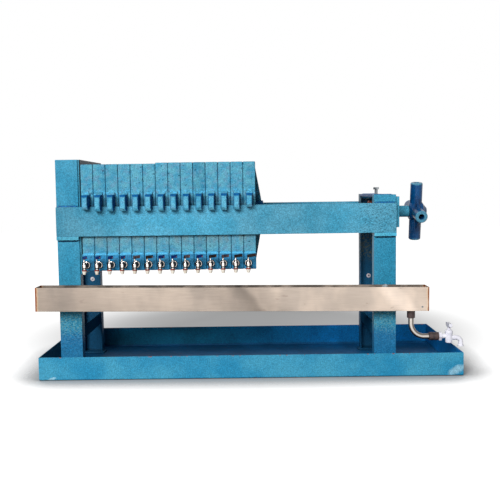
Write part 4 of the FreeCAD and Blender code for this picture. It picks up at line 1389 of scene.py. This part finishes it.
    @staticmethod
    def _shade(data: bpy.types.Mesh, smooth: float) -> None:
        """Shade rounded edges smooth, and leave wide flat faces flat.

        Args:
            data: the finished mesh.
            smooth: faces that meet at less than this, in degrees, share their shading.
        """
        limit = math.cos(math.radians(smooth))
        around: list[list[bpy.types.MeshPolygon]] = [[] for _ in data.vertices]
        for polygon in data.polygons:
            polygon.use_smooth = True
            for corner in polygon.vertices:
                around[corner].append(polygon)
        normals = []
        for polygon in data.polygons:
            own = polygon.normal
            for corner in polygon.vertices:
                total = own * polygon.area
                for other in around[corner]:
                    if own.dot(other.normal) > limit:
                        total = total + other.normal * other.area
                normals.append(total.normalized() if total.length > 0.0 else Vector((0.0, 0.0, 1.0)))
        data.normals_split_custom_set(normals)

    def finish(self, stands_for: Iterable[str] = (), smooth: float = 52.0) -> bpy.types.Object:
        """Close the piece: make its object, dress it and let it ride on its body.

        Args:
            stands_for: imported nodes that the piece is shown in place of.
            smooth: faces that meet at less than this, in degrees, are shaded as one.

        Returns:
            The piece's object.
        """
        bmesh.ops.recalc_face_normals(self.mesh, faces=self.mesh.faces)
        data = bpy.data.meshes.new(self.name)
        self.mesh.to_mesh(data)
        self.mesh.free()
        for finish in self.finishes:
            data.materials.append(finish.material())
        self._shade(data, smooth)
        thing = bpy.data.objects.new(self.name, data)
        bpy.context.scene.collection.objects.link(thing)
        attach(thing, self.body)
        for node in stands_for:
            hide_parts(node)
        LOG.info("%s: %d faces on %s", self.name, len(data.polygons), self.body)
        return thing


def eased(node: str, finish: Finish, width: float, segments: int = 2) -> bpy.types.Object:
    """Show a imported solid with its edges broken.

    Args:
        node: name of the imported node.
        finish: the finish it gets.
        width: width of the broken edges.
        segments: faces across each.

    Returns:
        The piece's object.
    """
    piece = Piece(node + "_finished", frame["nodes"][node]["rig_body"], [finish])
    piece.solid(node)
    piece.ease(width, segments)
    return piece.finish([node])


# --- sub-assemblies ------------------------------------------------------------


@dataclass
class DripTray:
    """Open sheet tray with folded lower edges and welded corners."""

    bend: float = 0.004
    rim_edge: float = 0.0008
    rim_band: float = 0.001
    weld_radius: float = 0.0022
    weld_inset: float = 0.004
    weld_foot: float = 0.006
    first_seed: int = 11

    def build(self) -> None:
        """Make the tray and its corner welds."""
        low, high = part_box("drip_tray")
        tray = Piece("drip_tray_sheet", "frame", [TRAY_ENAMEL])
        tray.solid("drip_tray")
        base = low.z + self.bend
        tray.ease(self.bend, 4, lambda edge: max(v.co.z for v in edge.verts) < base)
        tray.ease(self.rim_edge, 2, lambda edge: min(v.co.z for v in edge.verts) > high.z - self.rim_band)
        tray.finish(["drip_tray"])
        beads = Piece("drip_tray_welds", "frame", [TRAY_ENAMEL])
        seed = self.first_seed
        foot, top, inset = low.z + self.weld_foot, high.z - self.weld_inset, self.weld_inset
        for x in (low.x + inset, high.x - inset):
            for y in (low.y + inset, high.y - inset):
                beads.weld(Vector((x, y, foot)), Vector((x, y, top)), self.weld_radius, seed)
                seed += 1
        beads.finish()


@dataclass(frozen=True)
class BeadLine:
    """A bead across a post: how far it stands out and up, its share of the full width, its finish."""

    out: float
    up: float
    share: float
    finish: int = 0


@dataclass
class EndFrames:
    """Posts, rails, fixed head, ties, crosshead, thrust plate and screw nut."""

    edge: float = 0.0012
    rail_edge: float = 0.0016
    seat_edge: float = 0.0010
    bead: float = 0.0035
    post_margin: float = 0.011
    cross_margin: float = 0.006
    cross_drop: float = 0.0005
    cross_share: float = 0.7
    over_rail: BeadLine = BeadLine(0.0014, 0.0004, 1.15)
    under_rail: BeadLine = BeadLine(-0.0020, 0.0002, 0.35)
    # A near-black bead under each seat: a painted shadow.
    seat_shadow_line: BeadLine = BeadLine(0.0010, -0.0018, 1.05, 1)
    at_foot: BeadLine = BeadLine(0.0, 0.006, 1.0)
    first_seed: int = 31

    def build(self) -> None:
        """Make the frame's members and the beads that join them."""
        members = (
            ("left_posts", POST_ENAMEL, self.edge), ("right_posts", POST_ENAMEL, self.edge),
            ("side_rails", RAIL_ENAMEL, self.rail_edge), ("rail_seats", SEAT_HIGHLIGHT_ENAMEL, self.seat_edge),
            ("fixed_head", HEAD_ENAMEL, self.edge), ("tie_bars", TIE_SHADE_ENAMEL, self.edge),
            ("crosshead", CROSSHEAD_ENAMEL, self.edge), ("thrust_plate", FRAME_ENAMEL, self.edge),
            ("screw_nut", NUT_METAL, self.edge),
        )
        for node, finish, width in members:
            eased(node, finish, width)
        self._welds()

    def _welds(self) -> None:
        """Lay the beads over the rails, under their seats, at the feet and on the crosshead, in painted shade
        along the joints and darkest in the painted shadow line under the seats.
        """
        rails_low, rails_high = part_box("side_rails")
        seats_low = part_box("rail_seats")[0]
        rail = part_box("rail_seats")[1].y
        beads = Piece("frame_welds", "frame", [WELD_SHADE_ENAMEL, SEAT_SHADOW_ENAMEL])
        seed = self.first_seed
        for node in ("left_posts", "right_posts"):
            low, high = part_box(node)
            left, right = low.x + self.post_margin, high.x - self.post_margin
            runs = (
                (high.y, rails_high.z, self.over_rail), (rail, rails_low.z, self.under_rail),
                (high.y, seats_low.z, self.seat_shadow_line), (high.y, low.z, self.at_foot),
            )
            for side in (-1.0, 1.0):
                for face, level, line in runs:
                    y, z = side * (face + line.out), level + line.up
                    start, end = Vector((left, y, z)), Vector((right, y, z))
                    beads.weld(start, end, self.bead * line.share, seed, line.finish)
                    seed += 1
        cross_low, cross_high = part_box("crosshead")
        left, right = cross_low.x + self.cross_margin, cross_high.x - self.cross_margin
        z = cross_high.z - self.cross_drop
        for side in (-1.0, 1.0):
            y = side * abs(cross_high.y)
            beads.weld(Vector((left, y, z)), Vector((right, y, z)), self.bead * self.cross_share, seed)
            seed += 1
        beads.finish()


@dataclass
class PlatePack:
    """Thirteen loose plates and the ribbed follower."""

    edge: float = 0.00025
    lug_round: float = 0.0052
    lug_band: float = 0.004
    joint_lead: float = 0.0001
    deep_step: int = 16
    pale_step: int = 12
    tones: tuple[float, ...] = (0.0, -0.35, -0.3, 0.2, 0.15, 0.1, 0.25, 0.0, 0.1, -0.8, 0.1, 0.3, 0.2, -0.2)

    def build(self) -> None:
        """Make each plate in its own tone of the same paint."""
        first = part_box("plate_01")[0].x
        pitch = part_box("plate_02")[0].x - first
        for number in range(1, PLATES + 2):
            node = f"plate_{number:02d}" if number <= PLATES else "follower_plate"
            tone = self.tones[number - 1]
            finish = replace(
                CAST_ENAMEL,
                name=f"cast_enamel_{number:02d}",
                deep=tuple(channel + self.deep_step * tone for channel in CAST_ENAMEL.deep),
                pale=tuple(channel + self.pale_step * tone for channel in CAST_ENAMEL.pale),
                joint_start=first - self.joint_lead,
                joint_pitch=pitch,
            )
            piece = Piece(node + "_finished", frame["nodes"][node]["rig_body"], [finish])
            piece.solid(node)
            self._round_lugs(piece, node)
            piece.ease(self.edge, 1)
            piece.finish([node])

    def _round_lugs(self, piece: Piece, node: str) -> None:
        """Round the outer ends of the hanging lugs.

        Args:
            piece: the plate in the making.
            node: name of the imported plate.
        """
        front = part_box(node)[1].y - self.lug_band
        piece.ease(self.lug_round, 3, lambda edge: min(abs(vert.co.y) for vert in edge.verts) > front)


@dataclass
class ScrewDrive:
    """Press screw with its thread, and the capstan on its end."""

    pitch: float = 0.007
    thread_depth: float = 0.0036
    nose: float = 0.015
    nose_length: float = 0.034
    neck: float = 0.0205
    neck_gap: float = 0.007
    capstan_edge: float = 0.0018

    def build(self) -> None:
        """Make the threaded screw and the capstan wheel."""
        low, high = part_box("press_screw")
        centre = Vector((0.0, (low.y + high.y) / 2, (low.z + high.z) / 2))
        crest = (high.z - low.z) / 2
        root = crest - self.thread_depth
        core = root + 0.0002
        nose, neck = self.nose, self.neck
        neck_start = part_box("thrust_plate")[1].x + self.neck_gap
        shoulder = low.x + self.nose_length
        screw = Piece("press_screw_threaded", "press_screw", [SCREW_STEEL, FRAME_ENAMEL])
        screw.turned(
            [(low.x, nose - 0.003), (low.x + 0.003, nose), (shoulder, nose),
             (shoulder + 0.0005, root - 0.001), (shoulder + 0.003, core), (neck_start - 0.002, core)],
            centre, Axis.X, 40,
        )
        screw.thread(
            Vector((shoulder + 0.004, centre.y, centre.z)), Vector((1, 0, 0)), neck_start - shoulder - 0.006,
            crest, root, self.pitch,
        )
        screw.turned(
            [(neck_start - 0.006, crest - 0.0008), (neck_start - 0.005, crest), (neck_start, crest),
             (neck_start + 0.0015, neck), (high.x - 0.001, neck), (high.x, neck - 0.001)],
            centre, Axis.X, 48, 1,
        )
        screw.finish(["press_screw"])
        eased("capstan_wheel", CAPSTAN_ENAMEL, self.capstan_edge, 3)


@dataclass
class Drainage:
    """Collecting trough, drain fittings, bent pipe and plastic bib tap."""

    sheet_bend: float = 0.0012
    bend_top: float = 0.245
    weld_radius: float = 0.0012
    weld_length: float = 0.076
    weld_inset: float = 0.0020
    weld_depth: float = 0.0014
    low_end_drop: float = 0.0142
    rivet_across: float = 0.572
    rivet_height: float = 0.230
    rivet: Stops = ((0.0, 0.0030), (-0.0004, 0.0030), (-0.0007, 0.0022), (-0.0007, 0.0010))
    first_seed: int = 71

    def build(self) -> None:
        """Make the trough and what hangs under it."""
        trough = Piece("trough_folded", "frame", [TROUGH_SHEET])
        trough.solid("collecting_trough")
        trough.ease(self.sheet_bend, 3, lambda edge: max(v.co.z for v in edge.verts) < self.bend_top)
        trough.finish(["collecting_trough"])
        self._trough_welds()
        fittings = (
            ("drain_sockets", SOCKET_IRON, 0.0012, 2), ("drain_pipe", PIPE_STEEL, 0.0004, 1),
            ("tap_body", TAP_PLASTIC, 0.0007, 2), ("tap_handle", TAP_PLASTIC, 0.0009, 2),
        )
        for node, finish, width, segments in fittings:
            eased(node, finish, width, segments)

    def _trough_welds(self) -> None:
        """Lay the thin beads at the trough's ends and the rivet by the drain."""
        low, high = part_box("collecting_trough")
        beads = Piece("trough_welds", "frame", [TROUGH_SHEET, ZINC])
        seed = self.first_seed
        for x, drop in ((low.x + self.weld_inset, 0.0), (high.x - self.weld_inset, self.low_end_drop)):
            top = high.z - drop - 0.002
            for y in (low.y + self.weld_depth, high.y - self.weld_depth):
                start = Vector((x, y, top - self.weld_length))
                beads.weld(start, Vector((x, y, top)), self.weld_radius, seed)
                seed += 1
        beads.turned(self.rivet, Vector((self.rivet_across, low.y, self.rivet_height)), Axis.Y, 20, 1)
        beads.finish()


@dataclass(frozen=True)
class Turning:
    """One turned part of a cock: its axis, faces round, finish and profile."""

    axis: Axis
    sides: int
    finish: int
    profile: Stops


@dataclass
class DrainCocks:
    """One small chromed cock with a plastic lever for every plate."""

    flange: float = 0.013
    barrel: float = 0.0085
    barrel_top: float = 0.013
    stem_gap: float = 0.0003
    grip: float = 0.0100
    lift: float = 0.0040
    grip_edge: float = 0.0012
    tip_edge: float = 0.0005
    tip_rise: float = 0.0012
    tip_share: float = 0.4
    tip_length: float = 0.0024
    grips: dict[int, Finish] = field(default_factory=lambda: {
        5: LEVER_WORN, 6: LEVER_BLACK, 9: LEVER_WORN, 11: LEVER_BLACK, 12: LEVER_WORN, 13: LEVER_BLACK,
        14: LEVER_BLACK,
    })

    def build(self) -> None:
        """Make each cock on its plate and each lever on its cock."""
        for number in range(1, PLATES + 2):
            body = f"plate_{number:02d}" if number <= PLATES else "follower"
            self._cock(number, body)
            self._lever(number)

    def _turnings(self) -> tuple[Turning, ...]:
        """List the turned parts of a cock: flange, its step, neck, barrel, ring and nozzle.

        Returns:
            The parts; those along Y start at the seat, those along Z at the barrel's middle.
        """
        rim = self.flange
        return (
            Turning(Axis.Y, 36, 0, (
                (0.0, rim - 0.0008), (-0.0010, rim), (-0.0028, rim), (-0.0044, rim - 0.0020),
                (-0.0044, rim - 0.0034),
            )),
            Turning(Axis.Y, 36, 1, (
                (-0.0040, rim - 0.0032), (-0.0046, rim - 0.0034), (-0.0052, rim - 0.0052),
                (-0.0056, rim - 0.0062),
            )),
            Turning(Axis.Y, 28, 1, (
                (-0.0048, 0.0082), (-0.0085, 0.0082), (-0.0092, 0.0070), (-0.0125, 0.0064), (-0.0132, 0.0050),
                (-0.0300, 0.0050),
            )),
            Turning(Axis.Z, 32, 0, (
                (-0.0130, 0.0060), (-0.0124, 0.0072), (-0.0095, 0.0076), (-0.0085, 0.0066), (-0.0070, 0.0076),
                (-0.0040, 0.0085), (0.0040, 0.0085), (0.0065, 0.0074), (0.0078, 0.0060), (0.0092, 0.0056),
                (0.0100, 0.0062), (0.0124, 0.0060), (0.0130, 0.0050),
            )),
            Turning(Axis.Z, 28, 2, (
                (-0.0170, 0.0072), (-0.0166, 0.0082), (-0.0136, 0.0082), (-0.0128, 0.0068),
            )),
            Turning(Axis.Z, 28, 3, (
                (-0.0285, 0.0034), (-0.0285, 0.0046), (-0.0280, 0.0050), (-0.0262, 0.0052), (-0.0205, 0.0070),
                (-0.0172, 0.0075), (-0.0168, 0.0066),
            )),
        )

    def _cock(self, number: int, body: str) -> None:
        """Turn one cock's flange, neck, barrel, ring and nozzle.

        Args:
            number: the plate's number, from the fixed head.
            body: the body that the cock rides on.
        """
        node = f"cock_{number:02d}"
        low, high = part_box(node)
        seat = high.y
        barrel_y = low.y + self.barrel
        x = (low.x + high.x) / 2
        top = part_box(f"cock_lever_{number:02d}")[0].z - self.stem_gap
        mid = top - self.barrel_top
        cock = Piece(node + "_turned", body, [CHROME, DARK_CHROME, RING_RUBBER, NOZZLE_PLASTIC])
        for part in self._turnings():
            start = Vector((x, seat if part.axis is Axis.Y else barrel_y, mid))
            cock.turned(part.profile, start, part.axis, part.sides, part.finish)
        cock.finish([node])

    def _outline(self, half: Stops, base: Vector, ahead: Vector, reach: float) -> list[Vector]:
        """Draw the lower outline of a part of the lever, which rises towards its end.

        Args:
            half: (distance from the stem, half width), from the stem outwards.
            base: the stem's top.
            ahead: the way the lever points.
            reach: the lever's whole length.

        Returns:
            The outline's corners, in order.
        """
        aside = Vector((-ahead.y, ahead.x, 0.0))
        lift = Vector((0.0, 0.0, self.lift))
        sides = [(run, -off) for run, off in half] + [(run, off) for run, off in reversed(half)]
        return [base + ahead * run + aside * off + lift * (run / reach) for run, off in sides]

    def _lever(self, number: int) -> None:
        """Make one lever: its plated stem, its grip and its copper tip.

        Args:
            number: the plate's number, from the fixed head.
        """
        node = f"cock_lever_{number:02d}"
        low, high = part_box(node)
        cock_low, cock_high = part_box(f"cock_{number:02d}")
        centre = Vector(((cock_low.x + cock_high.x) / 2, cock_low.y + self.barrel, low.z))
        far = max(
            ((vert.co - centre).xy.length, vert.co.x - centre.x, vert.co.y - centre.y)
            for vert in frame["nodes"][node].data.vertices
        )
        reach = far[0]
        ahead = Vector((far[1], far[2], 0.0)).normalized()
        lever = Piece(node + "_moulded", node, [self.grips.get(number, LEVER_NAVY), CHROME, COPPER_TIP])
        stem = high.z - low.z - self.grip
        lever.turned(
            [(0.0, 0.0034), (0.0006, 0.00375), (0.0030, 0.00375), (0.0036, 0.0030), (stem - 0.001, 0.0028),
             (stem, 0.00375), (stem + 0.001, 0.00375)],
            centre, Axis.Z, 24, 1,
        )
        base = centre + Vector((0.0, 0.0, stem))
        stub = reach - self.tip_length
        grip = self._outline(((-0.004, 0.003), (-0.0028, 0.004), (stub, 0.0036)), base, ahead, reach)
        lever.prism(grip, Vector((0.0, 0.0, self.grip)), self.grip_edge)
        tip = self._outline(((stub - 0.0006, 0.0016), (reach - 0.0008, 0.0012)), base, ahead, reach)
        rise = Vector((0.0, 0.0, self.tip_rise))
        height = Vector((0.0, 0.0, self.grip * self.tip_share))
        lever.prism([corner + rise for corner in tip], height, self.tip_edge, 2)
        lever.finish([node])


@dataclass
class Hardware:
    """Lock bolt and the bolts that hold the trough and the posts."""

    lock_head: float = 0.008
    lock_flats: float = 0.019
    lock_crest: float = 0.006
    lock_root: float = 0.0051
    lock_pitch: float = 0.00175
    web: float = 0.005
    sheet: float = 0.0015
    post_height: float = 0.287
    trough_heights: tuple[float, float] = (0.268, 0.290)
    washer: Stops = ((0.0, 0.0080), (0.0012, 0.0082), (0.0018, 0.0074), (0.0018, 0.0020))
    round_head: Stops = ((0.0017, 0.0036), (0.0030, 0.0034), (0.0038, 0.0020), (0.0040, 0.0006))
    trough_bolt: Stops = (
        (0.0, 0.0095), (-0.0012, 0.0095), (-0.0014, 0.0070), (-0.0030, 0.0066), (-0.0046, 0.0048),
        (-0.0052, 0.0020),
    )

    def build(self) -> None:
        """Make the lock bolt and the round-headed bolts."""
        self._lock_bolt()
        posts = (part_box("left_posts"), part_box("right_posts"))
        middles = [(low.x + high.x) / 2 for low, high in posts]
        rounds = Piece("post_bolts", "frame", [WASHER_PLASTIC, ZINC])
        back_web = posts[0][1].y - self.web
        for x in middles:
            self._round_bolt(rounds, Vector((x, back_web, self.post_height)))
        rounds.finish()
        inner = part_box("collecting_trough")[1].y - self.sheet
        holders = Piece("trough_bolts", "frame", [ZINC])
        for x, height in zip(middles, self.trough_heights):
            holders.turned(self.trough_bolt, Vector((x, inner, height)), Axis.Y, 28)
        holders.finish()

    def _lock_bolt(self) -> None:
        """Make the threaded lock bolt with its hexagon head."""
        low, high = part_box("lock_bolt")
        centre = Vector(((low.x + high.x) / 2, 0.0, low.z))
        up = Vector((0, 0, 1))
        bolt = Piece("lock_bolt_threaded", "frame", [ZINC])
        length = high.z - low.z - self.lock_head
        root = self.lock_root
        bolt.turned([(0.0, 0.0040), (0.0012, root), (length, root)], centre, Axis.Z, 24)
        foot = centre + Vector((0, 0, 0.001))
        bolt.thread(foot, up, length - 0.001, self.lock_crest, root, self.lock_pitch, 20)
        bolt.hexagon_head(centre + Vector((0, 0, length)), up, self.lock_flats, self.lock_head)
        bolt.finish(["lock_bolt"])

    def _round_bolt(self, piece: Piece, seat: Vector) -> None:
        """Add a washer with a round-headed bolt in it, its head towards the front.

        Args:
            piece: the piece that takes them.
            seat: middle of the face that they sit on.
        """
        for profile, sides, finish in ((self.washer, 32, 0), (self.round_head, 20, 1)):
            piece.turned([(-distance, radius) for distance, radius in profile], seat, Axis.Y, sides, finish)


# --- studio ----------------------------------------------------------------------


@dataclass(frozen=True)
class Viewpoint:
    """Where the camera stands and how it is held, in metres and degrees."""

    place: Point = (0.0121, -2.7652, 0.6266)
    down: float = 4.55
    turn: float = -0.23
    roll: float = -0.78
    lens: float = 54.9
    sensor: float = 36.0

    def build(self) -> None:
        """Set the scene's camera."""
        down, turn, roll = (math.radians(angle) for angle in (self.down, self.turn, self.roll))
        ahead = Vector((math.sin(turn) * math.cos(down), math.cos(turn) * math.cos(down), -math.sin(down)))
        level = Vector((math.cos(turn), -math.sin(turn), 0.0))
        upright = level.cross(ahead)
        right = level * math.cos(roll) + upright * math.sin(roll)
        up = upright * math.cos(roll) - level * math.sin(roll)
        data = bpy.data.cameras.new("camera")
        data.lens = self.lens
        data.sensor_width = self.sensor
        camera = bpy.data.objects.new("camera", data)
        bpy.context.scene.collection.objects.link(camera)
        camera.matrix_world = Matrix((right, up, -ahead)).transposed().to_4x4()
        camera.location = self.place
        bpy.context.scene.camera = camera


@dataclass
class Studio:
    """Pale floor, plain background and one soft lamp."""

    ambient: float = 0.08
    floor_half: float = 9.0
    floor_drop: float = 0.0006
    floor_colour: Colour = (192, 192, 192)
    # A painted shadow on the floor: its glow is least round a point behind the press, and darker still where
    # the press stands close.
    behind: float = 0.62
    near_glow: float = 0.30
    near_reach: float = 0.55
    far_reach: float = 1.25
    contact_reach: float = 0.16
    contact_power: float = 6.0
    key_place: Point = (-2.5, -7.6, 3.9)
    key_target: Point = (0.0, 0.0, 0.3)
    key_size: tuple[float, float] = (4.4, 3.2)
    key_power: float = 770.0

    def build(self) -> None:
        """Make the floor, the world and the lamp, and set the plain view."""
        bpy.context.scene.view_settings.view_transform = "Standard"
        self._floor()
        self._world()
        self._lamp()

    @staticmethod
    def _seen(tree: bpy.types.NodeTree) -> Socket:
        """Pick out the rays that show the background: camera, glossy and transmission.

        Args:
            tree: the nodes that take it.

        Returns:
            1 for those rays and 0 for the rest.
        """
        path = tree.nodes.new("ShaderNodeLightPath")
        total = path.outputs["Is Camera Ray"]
        for name in ("Is Glossy Ray", "Is Transmission Ray"):
            add = tree.nodes.new("ShaderNodeMath")
            add.operation = "MAXIMUM"
            tree.links.new(total, add.inputs[0])
            tree.links.new(path.outputs[name], add.inputs[1])
            total = add.outputs[0]
        return total

    def _glow(self, draft: NodeDraft) -> Socket:
        """Lay out how the floor glows, with a painted shadow: less near the press and least where it stands.

        Args:
            draft: the floor's material in the making.

        Returns:
            The glow's strength.
        """
        shift = draft.add("ShaderNodeVectorMath", operation="SUBTRACT")
        draft.feed(shift.inputs[0], draft.place)
        shift.inputs[1].default_value = (0.0, self.behind, 0.0)
        away = draft.add("ShaderNodeVectorMath", operation="LENGTH")
        draft.feed(away.inputs[0], shift.outputs[0])
        glow = draft.span(away.outputs["Value"], self.near_reach, self.far_reach, self.near_glow, 1.0)
        # Painted contact shadow where the press stands close.
        contact = draft.math("POWER", draft.openness(self.contact_reach), self.contact_power)
        return draft.times(draft.times(glow, contact), self._seen(draft.tree))

    def _floor(self) -> None:
        """Lay the floor, which glows to the eye, keeps the press's shadow and has a painted shadow round the
        press.
        """
        half, level = self.floor_half, -self.floor_drop
        data = bpy.data.meshes.new("floor")
        corners = [(x * half, y * half, level) for x, y in ((-1, -1), (1, -1), (1, 1), (-1, 1))]
        data.from_pydata(corners, [], [(0, 1, 2, 3)])
        floor = bpy.data.objects.new("floor", data)
        bpy.context.scene.collection.objects.link(floor)
        draft = NodeDraft("floor_paper")
        matt = draft.add("ShaderNodeBsdfDiffuse")
        draft.feed(matt.inputs["Color"], linear(self.floor_colour))
        light = draft.add("ShaderNodeEmission")
        draft.feed(light.inputs["Strength"], self._glow(draft))
        both = draft.add("ShaderNodeAddShader")
        draft.feed(both.inputs[0], matt.outputs[0])
        draft.feed(both.inputs[1], light.outputs[0])
        draft.feed(draft.add("ShaderNodeOutputMaterial").inputs["Surface"], both.outputs[0])
        data.materials.append(draft.material)

    def _world(self) -> None:
        """Light the scene evenly, and show white where nothing stands."""
        world = bpy.data.worlds.new("studio")
        bpy.context.scene.world = world
        world.use_nodes = True
        tree = world.node_tree
        tree.nodes.clear()
        both = tree.nodes.new("ShaderNodeMixShader")
        tree.links.new(self._seen(tree), both.inputs[0])
        for index, strength in ((1, self.ambient), (2, 1.0)):
            white = tree.nodes.new("ShaderNodeBackground")
            white.inputs["Color"].default_value = (1.0, 1.0, 1.0, 1.0)
            white.inputs["Strength"].default_value = strength
            tree.links.new(white.outputs[0], both.inputs[index])
        output = tree.nodes.new("ShaderNodeOutputWorld")
        tree.links.new(both.outputs[0], output.inputs["Surface"])

    def _lamp(self) -> None:
        """Hang the soft key lamp."""
        data = bpy.data.lights.new("key", "AREA")
        data.shape = "RECTANGLE"
        data.size, data.size_y = self.key_size
        data.energy = self.key_power
        lamp = bpy.data.objects.new("key", data)
        bpy.context.scene.collection.objects.link(lamp)
        lamp.location = self.key_place
        aim = Vector(self.key_target) - Vector(self.key_place)
        lamp.rotation_euler = aim.to_track_quat("-Z", "Y").to_euler()


def main() -> None:
    """Dress the press and set up the studio."""
    logging.basicConfig(level=logging.INFO, format="%(message)s")
    Viewpoint().build()
    Studio().build()
    DripTray().build()
    EndFrames().build()
    PlatePack().build()
    ScrewDrive().build()
    Drainage().build()
    DrainCocks().build()
    Hardware().build()


if __name__ == "__main__":
    main()
